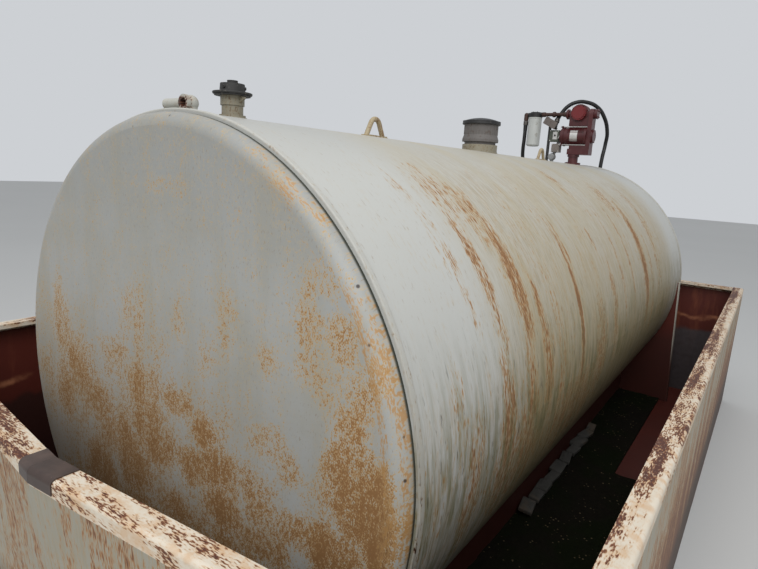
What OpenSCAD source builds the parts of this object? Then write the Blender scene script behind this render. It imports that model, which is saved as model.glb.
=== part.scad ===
// Horizontal fuel storage tank with flat flanged heads, standing in an open steel containment basin.
// Z is up and Y runs along the tank. The origin is the middle of the basin's underside.

/* [Tank] */
// Outside diameter of the tank
tank_d = 1626; // [1560:2:1660]
// Length of the shell from seam to seam
shell_l = 3580; // [3400:10:3600]
// Thickness of the shell plate
shell_t = 5; // [4:0.5:8]
// Thickness of each head
head_t = 6; // [5:0.5:8]
// How far each flat head stands out past its seam
head_out = 45; // [40:1:60]
// Outside radius of each head's rounded edge
knuckle_r = 36; // [20:1:38]
// How far each head's flange reaches into the shell
head_tuck = 25; // [15:1:40]
// Width of the raised lip round each end of the shell
lip_w = 18; // [12:1:30]
// Height of the raised lip
lip_h = 6; // [3:0.5:9]

/* [Basin] */
// Width of the basin over its side walls
basin_w = 2390; // [2300:10:2600]
// Length of each straight side wall with its rim
basin_l = 4145; // [4000:5:4400]
// Thickness of the basin's wall plates
wall_t = 5; // [4:0.5:8]
// Thickness of the floor plate
floor_t = 6; // [5:0.5:10]
// Gap between the floor plate and the tank's lowest line
tank_lift = 45; // [35:1:80]
// Height of the rim above the tank's axis
rim_rise = 0; // [-60:5:60]
// Width of the folded rim
rim_w = 60; // [50:1:80]
// Depth of the rim's outer leg
rim_h = 40; // [30:1:60]
// Depth of the rim's inner lip
rim_lip = 18; // [12:1:28]
// Outside radius of the rim's outer bend
bend_r = 12; // [8:1:16]
// Distance from the front corners to the tank's front seam
front_gap = 295; // [240:5:330]
// How far the middle of the front wall has been pulled outwards
front_bow = 116; // [40:2:140]
// Place of that bend across the basin
bow_x = 50; // [-200:10:200]
// Thickness of the cover patch on the bend
patch_t = 3; // [2:0.5:4]
// Width of the cover patch
patch_w = 145; // [100:5:200]

/* [Supports] */
// Height of the skid channels
skid_h = 150; // [120:5:160]
// Half the distance over the two skid channels
skid_x = 537; // [500:1:560]
// Flange width of the skid channels
skid_flange = 50; // [40:1:60]
// Thickness of the skid channels
skid_t = 7; // [5:1:9]
// Thickness of the saddle plates
saddle_t = 8; // [6:1:12]
// Distance from each seam to its saddle plate
saddle_in = 100; // [80:5:160]
// Distance from the front seam to the front saddle plate
front_saddle_in = 420; // [300:10:600]
// Width of the bearing band on each saddle
band_w = 110; // [80:5:140]
// Thickness of the bearing band
band_t = 8; // [6:1:10]
// How far the rear saddle stands out past the tank's side at its top
saddle_side = 11; // [11:1:27]
// How much further out its foot stands
saddle_splay = 44; // [10:1:80]
// Height of the rear saddle above the tank's axis
saddle_rise = 30; // [10:5:60]
// Width of the flat bar on the rear saddle's edges
edge_bar_w = 42; // [30:1:60]
// Thickness of that flat bar
edge_bar_t = 6; // [5:1:8]

/* [Top fittings] */
// Outside diameter of the open pipe stub
stub_d = 28; // [24:1:40]
// Length of the stub's pipe
stub_l = 105; // [80:5:130]
// Wall of the stub
stub_t = 2.5; // [2:0.5:4]
// Distance from the raised lip to the stub
stub_in = 24; // [24:1:45]
// Distance from the front seam to the small vent
vent_y = 197; // [150:1:260]
// Diameter of the small vent's pipe
vent_d = 60; // [48:1:66]
// Height of the small vent's pipe above the crown
vent_h = 60; // [45:1:90]
// Diameter of the small vent's brim
brim_d = 109; // [95:1:130]
// Distance from the front seam to the front lifting lug
lug_front_y = 880; // [700:10:1100]
// Distance from the rear seam to the rear lifting lug
lug_rear_in = 880; // [730:10:1080]
// Width of a lifting lug over its feet
lug_w = 120; // [110:2:150]
// Height of a lifting lug
lug_h = 78; // [65:1:95]
// Diameter of the lug's bar
lug_bar = 19; // [14:1:22]
// How far the emergency vent stands behind the middle of the shell
relief_off = 5; // [-250:5:250]
// Diameter of the emergency vent's body
relief_d = 170; // [150:2:178]
// Height of the emergency vent's seat above the crown
relief_h = 134; // [126:2:160]
// Diameter of the emergency vent's lid
relief_lid_d = 192; // [184:2:210]

/* [Pump] */
// Distance from the rear seam to the pump
pump_in = 204; // [140:2:280]
// Height of the motor's axis above the crown
motor_z = 205; // [195:1:207]
// Diameter of the motor
motor_d = 130; // [110:2:132]
// Length of the motor with its end boss
motor_l = 202; // [180:2:210]
// Height of the pump head's axis above the crown
head_z = 367; // [362:1:380]
// Diameter of the pump head
head_d = 128; // [110:2:134]
// Distance from the pump to the filter
filter_x = 323; // [280:1:360]
// Diameter of the filter canister
filter_d = 98; // [80:1:104]
// Length of the filter canister
filter_l = 214; // [150:2:230]
// Outside diameter of the delivery hose
hose_d = 28; // [24:1:30]

/* [Hidden] */

tank_r = tank_d / 2;
// Gap left where a piece is welded or set against a curved surface
seat_gap = 0.3;
// Root gap of the welded joint between the two arms of the bent rim
weld_gap = 0.4;
// Running clearance of the emergency vent's stem in its guide
stem_gap = 0.3;
// The basin's outline along Y: the pulled-out front wall and its patch count in its length
back_y = (basin_l + front_bow + patch_t) / 2;
corner_y = back_y - basin_l;
apex_y = corner_y - front_bow;
half_w = basin_w / 2;
axis_z = floor_t + tank_lift + tank_r;
basin_h = axis_z + rim_rise;
wall_top = basin_h - rim_h;
seam_y = corner_y + front_gap;
rear_saddle_y = shell_l - saddle_in;
saddle_top_x = tank_r + saddle_side;
saddle_foot_x = saddle_top_x + saddle_splay;
stub_y = lip_w + stub_in;
lug_rear_y = shell_l - lug_rear_in;
relief_y = shell_l / 2 + relief_off;
pump_y = shell_l - pump_in;
skid_top = floor_t + skid_h;
round_fn = 144;
fitting_fn = 48;

steel_red = [0.36, 0.13, 0.10];
rim_brown = [0.56, 0.42, 0.34];
tank_white = [0.78, 0.77, 0.72];
pump_red = [0.42, 0.07, 0.08];
vent_grey = [0.24, 0.22, 0.20];

// Puts children in the tank's frame: X across, Y from the front seam, Z from the axis.
module in_tank_frame() translate([0, seam_y, axis_z]) children();

// A round bar or disc along Y, in the tank's frame, from y0 to y1.
module drum_y(r, y0, y1, fn = round_fn) {
    translate([0, y0, 0]) rotate([-90, 0, 0]) cylinder(r = r, h = y1 - y0, $fn = fn);
}

// A round bar along X, from x0 to x1.
module drum_x(r, x0, x1, fn = fitting_fn) {
    translate([x0, 0, 0]) rotate([0, 90, 0]) cylinder(r = r, h = x1 - x0, $fn = fn);
}

// Stands children on the crown at x, y and cuts their foot to the shell's curve.
module on_crown(x, y) {
    in_tank_frame() difference() {
        translate([x, y, tank_r]) children();
        drum_y(tank_r + seat_gap, -head_out, shell_l + head_out);
    }
}

// Basin

module basin_floor() {
    color(steel_red) translate([-half_w, corner_y, 0]) cube([basin_w, basin_l, floor_t]);
}

module back_wall() {
    color(steel_red) translate([-half_w, back_y - wall_t, floor_t])
        cube([basin_w, wall_t, wall_top - floor_t]);
}

module side_wall() {
    color(steel_red) translate([-half_w, corner_y + wall_t, floor_t])
        cube([wall_t, basin_l - 2 * wall_t, wall_top - floor_t]);
}

module left_wall() side_wall();

module right_wall() mirror([1, 0, 0]) side_wall();

// Outward offset of the front wall at x and at height z: none at the floor and at the corners.
function bow(x, z) = front_bow * (z - floor_t) / (wall_top - floor_t)
    * (x < bow_x ? (x + half_w) / (bow_x + half_w) : (half_w - x) / (half_w - bow_x));

// The front wall is a thin warped plate: a grid of points on each face, joined round the edges.
module front_wall() {
    cols = [-half_w, (bow_x - half_w) / 2, bow_x, (bow_x + half_w) / 2, half_w];
    rows = [for (k = [0:4]) floor_t + (wall_top - floor_t) * k / 4];
    nc = len(cols);
    nr = len(rows);
    n = nc * nr;
    points = [for (back = [0, 1], z = rows, x = cols) [x, corner_y - bow(x, z) + back * wall_t, z]];
    cells = [for (r = [0:nr - 2], c = [0:nc - 2]) r * nc + c];
    outer = [for (a = cells) each [[a, a + nc, a + nc + 1], [a, a + nc + 1, a + 1]]];
    inner = [for (a = cells) each [[n + a, n + a + nc + 1, n + a + nc], [n + a, n + a + 1, n + a + nc + 1]]];
    edge = concat([for (c = [0:nc - 1]) c], [for (r = [1:nr - 1]) r * nc + nc - 1],
        [for (c = [nc - 2:-1:0]) (nr - 1) * nc + c], [for (r = [nr - 2:-1:1]) r * nc]);
    sides = [for (k = [0:len(edge) - 1])
        let (a = edge[k], b = edge[(k + 1) % len(edge)]) each [[a, b, n + b], [a, n + b, n + a]]];
    color(tank_white) polyhedron(points = points, faces = concat(outer, inner, sides));
}

// Outline of the rim's section: U runs inwards from the outer face, with the outer top corner rounded.
module rim_outline(w, h, r) {
    translate([r, -h]) square([w - r, h]);
    translate([0, -h]) square([r, h - r]);
    translate([r, -r]) circle(r, $fn = 48);
}

module rim_section() {
    difference() {
        rim_outline(rim_w, rim_h, bend_r);
        translate([wall_t, -wall_t]) rim_outline(rim_w - 2 * wall_t, rim_h, bend_r - wall_t);
        translate([rim_w - 1.5 * wall_t, -2 * rim_h]) square([2 * wall_t, 2 * rim_h - rim_lip]);
    }
}

// A straight length of rim along Y, outer face at x = 0, top at z = 0.
module rim_run(l) translate([0, l, 0]) rotate([90, 0, 0]) linear_extrude(l) rim_section();

module rim_end_cap() translate([0, wall_t, 0]) rotate([90, 0, 0]) linear_extrude(wall_t) rim_outline(rim_w, rim_h, bend_r);

module side_rim() {
    color(rim_brown) translate([-half_w, corner_y, basin_h]) {
        rim_run(basin_l);
        rim_end_cap();
        translate([0, basin_l - wall_t, 0]) rim_end_cap();
    }
}

module left_rim() side_rim();

module right_rim() mirror([1, 0, 0]) side_rim();

module back_rim() {
    inner = half_w - rim_w;
    color(rim_brown) translate([-inner, back_y, basin_h]) rotate([0, 0, -90]) rim_run(2 * inner);
}

// Lays children, drawn along Y with their outer face at x = 0, along both arms of the bent front rim.
// The children are cut to the stretch from x0 to x1.
module along_front(x0, x1) {
    reach = 2 * half_w;
    for (arm = [-1, 1]) {
        run = arm < 0 ? bow_x + half_w : half_w - bow_x;
        from = arm < 0 ? x0 : max(x0, bow_x + weld_gap / 2);
        to = arm < 0 ? min(x1, bow_x - weld_gap / 2) : x1;
        intersection() {
            translate([bow_x, apex_y, basin_h]) rotate([0, 0, arm * atan2(front_bow, run)])
                translate([reach / 2, 0, 0]) rotate([0, 0, 90]) children();
            translate([from, apex_y - rim_w, wall_top - rim_h]) cube([to - from, 4 * rim_w + front_bow, 3 * rim_h]);
        }
    }
}

module front_rim() {
    inner = half_w - rim_w;
    color(rim_brown) along_front(-inner, inner) rim_run(2 * half_w);
}

// A sheet cover wrapped over the bend, from the rim's inner edge down its outer leg.
module rim_patch() {
    left_reach = 55;
    color([0.20, 0.19, 0.20]) along_front(bow_x - left_reach, bow_x - left_reach + patch_w)
        translate([0, 2 * half_w, 0]) rotate([90, 0, 0]) linear_extrude(2 * half_w) difference() {
            translate([-patch_t, patch_t]) rim_outline(rim_w + patch_t, rim_h - patch_t, bend_r + patch_t);
            rim_outline(rim_w + patch_t, rim_h + patch_t, bend_r);
        }
}

// Supports

module skid() {
    y0 = saddle_in;
    color(steel_red) translate([-skid_x, seam_y + y0, floor_t]) difference() {
        cube([skid_flange, rear_saddle_y - y0, skid_h]);
        translate([skid_t, -1, skid_t]) cube([skid_flange, rear_saddle_y - y0 + 2, skid_h - 2 * skid_t]);
    }
}

module left_skid() skid();

module right_skid() mirror([1, 0, 0]) skid();

// Bearing band under the tank, out to half_x on each side.
module bearing_band(y_mid, half_x) {
    difference() {
        drum_y(tank_r + seat_gap + band_t, y_mid - band_w / 2, y_mid + band_w / 2);
        drum_y(tank_r + seat_gap, y_mid - band_w, y_mid + band_w);
        translate([-2 * tank_r, y_mid - band_w, -tank_r / 2]) cube([4 * tank_r, 2 * band_w, 2 * tank_r]);
        for (side = [0, 1]) mirror([side, 0, 0])
            translate([half_x, y_mid - band_w, -2 * tank_r]) cube([tank_r, 2 * band_w, 2 * tank_r]);
    }
}

// A plate in the tank's frame, from y to y + saddle_t, drawn as an outline in X and Z.
module cross_plate(y, t) translate([0, y + t, 0]) rotate([90, 0, 0]) linear_extrude(t) children();

// The front saddle stands between the skids and bears on their top flanges.
module front_saddle() {
    y = front_saddle_in;
    top = -sqrt(pow(tank_r, 2) - pow(skid_x, 2));
    shelf = skid_top - axis_z;
    inner = skid_x - skid_flange;
    color(steel_red) in_tank_frame() {
        cross_plate(y, saddle_t) difference() {
            union() {
                translate([-skid_x, shelf]) square([2 * skid_x, top - shelf]);
                translate([-inner, floor_t - axis_z]) square([2 * inner, skid_h]);
            }
            circle(tank_r + seat_gap + band_t / 2, $fn = round_fn);
        }
        bearing_band(y + saddle_t / 2, skid_x - skid_t);
    }
}

// Outline of the rear saddle at a given inset from its sloping edges.
function saddle_edge(inset) = [
    [saddle_foot_x - inset, floor_t - axis_z],
    [saddle_top_x - inset, saddle_rise]];

module rear_saddle() {
    y = rear_saddle_y;
    right = saddle_edge(edge_bar_t);
    bar = concat(saddle_edge(edge_bar_t), [for (k = [1, 0]) saddle_edge(0)[k]]);
    color(steel_red) in_tank_frame() {
        cross_plate(y, saddle_t) difference() {
            polygon(concat(right, [for (k = [1, 0]) [-right[k][0], right[k][1]]]));
            circle(tank_r + seat_gap, $fn = round_fn);
            translate([-tank_r - seat_gap, 0]) square([2 * (tank_r + seat_gap), tank_r]);
        }
        for (side = [0, 1]) mirror([side, 0, 0]) cross_plate(y, edge_bar_w) polygon(bar);
    }
}

// Tank

module tank_shell() {
    color(tank_white) in_tank_frame() difference() {
        drum_y(tank_r, 0, shell_l);
        drum_y(tank_r - shell_t, -1, shell_l + 1);
    }
}

// Half section of a flat head with a rounded edge: face at height 0, radius along X.
module head_profile(r, k, depth) {
    square([r - k, depth]);
    translate([0, k]) square([r, depth - k]);
    translate([r - k, k]) circle(k, $fn = 64);
}

// A head drawn with its face at y = 0 and its flange running along +Y.
module head() {
    r = tank_r - shell_t;
    depth = head_out + head_tuck;
    rotate([-90, 0, 0]) rotate_extrude($fn = round_fn) difference() {
        head_profile(r, knuckle_r, depth);
        translate([0, head_t]) head_profile(r - head_t, knuckle_r - head_t, depth);
    }
}

module front_head() color(tank_white) in_tank_frame() translate([0, -head_out, 0]) head();

module rear_head() {
    color(tank_white) in_tank_frame() translate([0, shell_l + head_out, 0]) mirror([0, 1, 0]) head();
}

// Raised rounded lip round the end of the shell.
module lip() {
    r = lip_h / 2;
    rotate([-90, 0, 0]) rotate_extrude($fn = round_fn) translate([tank_r, 0]) {
        square([lip_h - r, lip_w]);
        translate([0, r]) square([lip_h, lip_w - 2 * r]);
        for (z = [r, lip_w - r]) translate([lip_h - r, z]) circle(r, $fn = 32);
    }
}

module front_lip() color(tank_white) in_tank_frame() lip();

module rear_lip() color(tank_white) in_tank_frame() translate([0, shell_l - lip_w, 0]) lip();

// Top fittings

// An elbow that stands on the crown beside the lip. Its mouth is open to the front, and a pipe runs to the left.
module pipe_stub() {
    elbow_x = 23;
    elbow_r = stub_d / 2 + 6.5;
    mid_z = elbow_r + 1;
    mouth_y = 1 - stub_in;
    color(tank_white) difference() {
        on_crown(0, stub_y) {
            translate([0, 0, mid_z]) drum_x(stub_d / 2, elbow_x - stub_l, elbow_x);
            translate([0, 0, mid_z]) drum_x(stub_d / 2 + 3, elbow_x - 34, elbow_x);
            translate([elbow_x, 0, mid_z]) sphere(elbow_r, $fn = fitting_fn);
            translate([elbow_x, 0, -20]) cylinder(r = elbow_r - 3, h = 20 + mid_z, $fn = fitting_fn);
            translate([elbow_x, 0, mid_z]) drum_y(elbow_r - 0.5, mouth_y, mouth_y + 10, fitting_fn);
            translate([elbow_x, 0, mid_z]) drum_y(elbow_r - 3, mouth_y + 9, 0, fitting_fn);
        }
        in_tank_frame() translate([elbow_x, stub_y, tank_r + mid_z])
            drum_y(stub_d / 2 - stub_t, mouth_y - 1, 6, fitting_fn);
    }
}

module small_vent_neck() {
    ear = 23;
    color(tank_white) on_crown(0, vent_y) {
        translate([0, 0, -30]) cylinder(d = vent_d, h = vent_h + 30, $fn = fitting_fn);
        translate([0, 0, vent_h - 26]) cylinder(d = vent_d + 7, h = 26, $fn = fitting_fn);
        translate([0, 0, -30]) cylinder(d = vent_d + 14, h = 38, $fn = fitting_fn);
        translate([vent_d / 2, 3, vent_h - 4]) rotate([90, 0, 0]) linear_extrude(6)
            polygon([[0, -18], [ear, -4], [ear, 0], [0, 0]]);
    }
}

module small_vent_cap() {
    color(vent_grey) in_tank_frame() translate([0, vent_y, tank_r + vent_h]) {
        cylinder(d = brim_d - 8, h = 4, $fn = fitting_fn);
        translate([0, 0, 4]) cylinder(d = brim_d, h = 5, $fn = fitting_fn);
        translate([0, 0, 9]) cylinder(d1 = vent_d + 12, d2 = vent_d + 8, h = 24, $fn = fitting_fn);
        translate([0, 0, 33]) cylinder(d = vent_d / 2, h = 9, $fn = fitting_fn);
    }
}

// A hairpin of round bar on a foot plate: two leaning legs joined by an arc.
module lifting_lug(y) {
    plate_t = 8;
    r = lug_bar / 2;
    arc_r = lug_w / 4;
    foot = lug_w / 2 - r;
    drop = lug_h - arc_r - r - plate_t;
    turn = atan2(foot, drop) - asin(arc_r / norm([foot, drop]));
    top = [arc_r * cos(turn), arc_r * sin(turn)];
    leg_l = norm([foot - top[0], drop + top[1]]);
    color([0.62, 0.52, 0.36]) on_crown(0, y) {
        translate([-15, -lug_w / 2 - 4, -6]) cube([30, lug_w + 8, plate_t + 6]);
        translate([0, 0, plate_t + drop]) rotate([90, 0, 90])
            rotate([0, 0, turn]) rotate_extrude(angle = 180 - 2 * turn, $fn = 64)
                translate([arc_r, 0]) circle(r, $fn = 24);
        for (s = [-1, 1]) translate([0, s * foot, plate_t]) rotate([s * turn, 0, 0])
            translate([0, 0, -6]) cylinder(r = r, h = leg_l + 6, $fn = 24);
    }
}

module front_lifting_lug() lifting_lug(lug_front_y);

module rear_lifting_lug() lifting_lug(lug_rear_y);

relief_collar_h = 35;
relief_stem_d = 12;
relief_stem_l = 62;
relief_seat_w = 10;
relief_rib = 7;

module emergency_vent_collar() {
    color(tank_white) on_crown(0, relief_y) {
        translate([0, 0, -40]) cylinder(d = relief_d + 8, h = 40 + relief_collar_h, $fn = fitting_fn * 2);
    }
}

// The cast body: a necked pot with a seat ring at its top and a bridge that guides the lid's stem.
module emergency_vent_body() {
    h = relief_h - relief_collar_h;
    throat_r = relief_d / 2 - relief_seat_w;
    bridge_z = h - relief_stem_l + 14;
    color(vent_grey) in_tank_frame() translate([0, relief_y, tank_r + relief_collar_h]) difference() {
        union() {
            difference() {
                union() {
                    cylinder(d = relief_d - 12, h = 16, $fn = fitting_fn * 2);
                    translate([0, 0, 14]) cylinder(d = relief_d + 14, h = 12, $fn = fitting_fn * 2);
                    translate([0, 0, 26]) cylinder(d1 = relief_d + 14, d2 = relief_d, h = 22, $fn = fitting_fn * 2);
                    translate([0, 0, 48]) cylinder(d = relief_d, h = h - 48, $fn = fitting_fn * 2);
                }
                translate([0, 0, 26]) cylinder(r = throat_r, h = h, $fn = fitting_fn * 2);
            }
            translate([-throat_r - 2, -relief_rib, bridge_z]) cube([2 * throat_r + 4, 2 * relief_rib, 14]);
            translate([0, 0, bridge_z]) cylinder(d = 30, h = 26, $fn = fitting_fn);
        }
        translate([0, 0, bridge_z - 1]) cylinder(d = relief_stem_d + 2 * stem_gap, h = 30, $fn = fitting_fn);
    }
}

// A flat plate with a domed top; it rests on the seat ring by its own weight.
module emergency_vent_lid() {
    r = relief_lid_d / 2;
    brim_t = 17;
    dome = 17;
    dome_r = r - 4;
    sphere_r = (pow(dome_r, 2) + pow(dome, 2)) / (2 * dome);
    color(vent_grey) in_tank_frame() translate([0, relief_y, tank_r + relief_h + seat_gap]) {
        cylinder(r = r, h = brim_t, $fn = fitting_fn * 2);
        intersection() {
            translate([0, 0, brim_t + dome - sphere_r]) sphere(sphere_r, $fn = round_fn);
            translate([0, 0, brim_t]) cylinder(r = dome_r, h = dome + 1, $fn = fitting_fn * 2);
        }
    }
}

module emergency_vent_stem() {
    color(vent_grey) in_tank_frame() translate([0, relief_y, tank_r + relief_h + seat_gap - relief_stem_l])
        cylinder(d = relief_stem_d, h = relief_stem_l, $fn = fitting_fn);
}

// Pump

casing_bottom = 72;
casing_top = motor_z - motor_d / 2 - 3;
frame_x = 88;
frame_w = 30;
frame_top = head_z + 33;
head_x = 14;
port_z = head_z - 5;
port_x = -78;
cover_y = -24;
motor_boss = 14;

// Puts children at the pump, with Z from the crown.
module at_pump() in_tank_frame() translate([0, pump_y, tank_r]) children();

module pump_pedestal() {
    color(pump_red) on_crown(0, pump_y) {
        translate([0, 0, -20]) cylinder(d = 112, h = 34, $fn = fitting_fn);
        cylinder(d = 70, h = casing_bottom, $fn = fitting_fn);
        translate([0, 0, casing_bottom - 16]) cylinder(d = 84, h = 16, $fn = fitting_fn);
    }
}

// A plate across X with round ends, from z0 to z1, half depth d.
module stadium_x(x0, x1, z0, z1, d) {
    translate([x0, 0, 0]) rotate([90, 0, 90]) linear_extrude(x1 - x0) {
        translate([-d, z0]) square([2 * d, z1 - z0 - d]);
        translate([0, z1 - d]) circle(d, $fn = fitting_fn);
    }
}

// One casting: a stepped foot over the pedestal, and an upright plate with the gear cover and port on its outer side.
module pump_casing() {
    step = 24;
    side = frame_x + frame_w;
    color(pump_red) at_pump() {
        translate([-38, -46, casing_bottom]) cube([side + 38, 92, casing_top - casing_bottom - step]);
        translate([-30, -36, casing_top - step]) cube([frame_x + 30, 72, step]);
        stadium_x(frame_x, side, casing_bottom, frame_top, 42);
        translate([0, 0, motor_z]) drum_x(50, side, side + 8, fitting_fn * 2);
        translate([0, 0, motor_z]) drum_x(42, side + 8, side + 15, fitting_fn * 2);
        translate([0, 0, port_z]) drum_x(33, side, side + 18);
        translate([0, 0, port_z]) drum_x(36, side + 18, side + 24);
    }
}

rod_ring = motor_d / 2 + 9;
rod_angles = [60, 120, 240, 300];
rod_ear = 17;

// The left end bell carries four ears for the tie rods, with a boss outside it.
module pump_motor() {
    x1 = frame_x;
    x0 = x1 - motor_l + motor_boss;
    r = motor_d / 2;
    color(pump_red) at_pump() translate([0, 0, motor_z]) {
        drum_x(r - 4, x0 + 20, x1, fitting_fn * 2);
        drum_x(r, x1 - 18, x1, fitting_fn * 2);
        drum_x(r, x0 + 5, x0 + 24, fitting_fn * 2);
        drum_x(r - 12, x0 - 5, x0 + 5, fitting_fn * 2);
        drum_x(22, x0 - motor_boss, x0 - 5, fitting_fn);
        for (a = rod_angles) rotate([a, 0, 0]) {
            translate([x0 + 5, r - 5, -5]) cube([rod_ear - 5, rod_ring - r + 5, 10]);
            translate([0, rod_ring, 0]) drum_x(7, x0 + 5, x0 + rod_ear, 32);
        }
    }
}

// Four long bolts that clamp the motor's ears to the upright plate.
module motor_tie_rods() {
    x0 = frame_x - motor_l + motor_boss + rod_ear;
    color([0.7, 0.68, 0.66]) at_pump() translate([0, 0, motor_z])
        for (a = rod_angles) rotate([a, 0, 0]) translate([0, rod_ring, 0]) drum_x(3.5, x0, frame_x, 16);
}

// The strainer housing, its outlet flange to the left and its neck, which bolts to the upright plate.
module pump_head() {
    r = head_d / 2;
    neck_bottom = motor_z + motor_d / 2 + 7;
    color(pump_red) at_pump() {
        translate([head_x, 0, head_z]) drum_y(r, cover_y, 48, fitting_fn * 2);
        translate([0, 0, port_z]) drum_x(23, port_x + 6, head_x);
        translate([0, 0, port_z]) drum_x(36, port_x, port_x + 14);
        translate([0, 0, port_z]) drum_x(24, head_x, frame_x);
        translate([-53, cover_y, neck_bottom]) cube([frame_x + 53, 34 - cover_y, head_z - neck_bottom]);
    }
}

module pump_cover() {
    color([0.50, 0.08, 0.09]) at_pump() translate([head_x, 0, head_z]) {
        drum_y(51, cover_y - 28, cover_y, fitting_fn * 2);
        drum_y(42, cover_y - 34, cover_y - 28, fitting_fn * 2);
    }
}

filter_head_r = filter_d / 2 + 2;

module outlet_pipe() {
    color([0.35, 0.16, 0.12]) at_pump() translate([0, 0, port_z])
        drum_x(13, -filter_x + filter_head_r, port_x);
}

module filter_head() {
    color([0.07, 0.07, 0.07]) at_pump() translate([-filter_x, 0, port_z - 20]) {
        cylinder(r = filter_head_r, h = 26, $fn = fitting_fn);
        translate([0, 0, 26]) cylinder(r1 = filter_head_r, r2 = filter_head_r - 14, h = 12, $fn = fitting_fn);
        translate([0, 0, 20]) drum_x(17, filter_head_r - 20, filter_head_r);
        translate([0, 0, 18]) drum_x(17, -filter_head_r - 4, 0);
    }
}

module filter_canister() {
    r = filter_d / 2;
    color([0.72, 0.73, 0.70]) at_pump() translate([-filter_x, 0, port_z - 20 - filter_l]) {
        translate([0, 0, 10]) cylinder(r = r, h = filter_l - 10, $fn = fitting_fn);
        cylinder(r1 = r - 8, r2 = r, h = 10, $fn = fitting_fn);
    }
}

// Route of the hose from the elbow, down to the shell, over the rear edge, round a hanging bight,
// up behind the tank, over the pump and behind the outlet pipe to the nozzle. X across, Y from the pump,
// Z from the crown.
hose_route = [
    [-396, 0, 318], [-396, 1, 180], [-400, 7, 115], [-407, 31, 59], [-409, 55, 14], [-410, 84, -28],
    [-412, 114, -58], [-414, 152, -79], [-413, 191, -88], [-414, 230, -89], [-413, 271, -100],
    [-412, 309, -125], [-410, 341, -167], [-407, 355, -222], [-404, 342, -330], [-394, 318, -470],
    [-384, 288, -600], [-368, 268, -720], [-340, 264, -830], [-290, 264, -926], [-212, 264, -995],
    [-110, 264, -1018], [-10, 264, -979], [62, 264, -895], [104, 264, -780], [127, 264, -630],
    [135, 264, -460], [135, 264, -280], [133, 266, -100], [138, 270, 60], [141, 301, 170],
    [150, 273, 259], [123, 205, 376], [77, 164, 435], [10, 116, 462], [-46, 78, 458],
    [-100, 55, 428], [-139, 41, 376], [-155, 14, 329], [-155, -1, 303]];

function unit(v) = v / norm(v);
function way(p, i) = unit(p[i + 1] - p[i]);
function heading(p, i) =
    i == 0 ? way(p, 0) : i == len(p) - 1 ? way(p, i - 1) : unit(way(p, i - 1) + way(p, i));
// Halfway from point i to the next along a smooth curve through all the points.
function halfway(p, i) =
    (p[i] + p[i + 1]) / 2 + 0.146 * norm(p[i + 1] - p[i]) * (heading(p, i) - heading(p, i + 1));
function with_halfways(p) = [for (i = [0:len(p) - 2]) each [p[i], halfway(p, i)], p[len(p) - 1]];
function squared(n, t) = unit(n - (n * t) * t);
// Direction of each ring's first corner, carried along the route without twist.
function ring_dirs(p, start) = [
    for (i = 0, n = squared(start, heading(p, 0)); i < len(p);
        i = i + 1, n = squared(n, heading(p, min(i, len(p) - 1)))) n];

// A round tube swept along the points p.
module swept_tube(p, r, sides, start) {
    dirs = ring_dirs(p, start);
    last = (len(p) - 1) * sides;
    points = [for (i = [0:len(p) - 1], k = [0:sides - 1])
        let (t = heading(p, i), a = 360 * k / sides)
        p[i] + r * (cos(a) * dirs[i] + sin(a) * cross(t, dirs[i]))];
    walls = [for (i = [0:len(p) - 2], k = [0:sides - 1])
        let (a = i * sides + k, b = i * sides + (k + 1) % sides) each [[a, a + sides, b + sides], [a, b + sides, b]]];
    polyhedron(points = points, faces = concat([[for (k = [0:sides - 1]) k]],
        [[for (k = [sides - 1:-1:0]) last + k]], walls));
}

module delivery_hose() {
    color([0.06, 0.06, 0.06]) at_pump() swept_tube(with_halfways(hose_route), hose_d / 2, 8, [0, 1, 0]);
}

// A street elbow: out of the filter head along X, then down to the hose.
module hose_elbow() {
    x = hose_route[0][0];
    z = port_z - 2;
    foot = hose_route[0][2] + seat_gap;
    color([0.30, 0.09, 0.08]) at_pump() {
        translate([x, 0, z]) sphere(17, $fn = fitting_fn);
        translate([0, 0, z]) drum_x(15, x, -filter_x - filter_head_r - 4);
        translate([x, 0, foot]) cylinder(r = hose_d / 2 + 3, h = z - foot, $fn = fitting_fn);
    }
}

// Nozzle and its holder

post_x = -200;
post_d = 22;
post_h = 290;
boot_x = -183;
boot_y = -26;
boot_z = 297;
// Slope of the holster, down towards the pump
boot_tilt = 27;
boot_l = 100;
boot_w = 66;
boot_h = 54;
boot_t = 3;
// Height of the holster's low rear edge
boot_rear_h = 14;
nozzle_r = 15;
// How far behind the holster's middle the nozzle lies
nozzle_off = 8;
swivel_l = 34;
// Lean of the nozzle's swivel towards the rear
swivel_lean = 30;

// Puts children in the holster's frame: X down its length, Z out of its open side.
module in_boot() at_pump() translate([boot_x, boot_y, boot_z]) rotate([0, boot_tilt, 0]) children();

// The post is cut to the slope of the holster that it carries.
module nozzle_post() {
    color([0.08, 0.08, 0.08]) difference() {
        on_crown(post_x, pump_y) {
            translate([0, 0, -60]) cylinder(d = post_d, h = 60 + post_h, $fn = 32);
            translate([0, 0, -60]) cylinder(d = 44, h = 48, $fn = 32);
        }
        in_boot() translate([-boot_l, -boot_w, -boot_h / 2]) cube([2 * boot_l, 2 * boot_w, 3 * boot_h]);
    }
}

// A sheet tray, folded up high at the front and at its upper end and low at the rear.
module nozzle_boot() {
    color([0.30, 0.28, 0.26]) in_boot() translate([-boot_l / 2, -boot_w / 2, -boot_h / 2]) difference() {
        cube([boot_l, boot_w, boot_h]);
        translate([boot_t, boot_t, boot_t]) cube([boot_l, boot_w - 2 * boot_t, boot_h]);
        translate([boot_t, boot_w / 2, boot_rear_h]) cube([boot_l, boot_w, boot_h]);
    }
}

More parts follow.
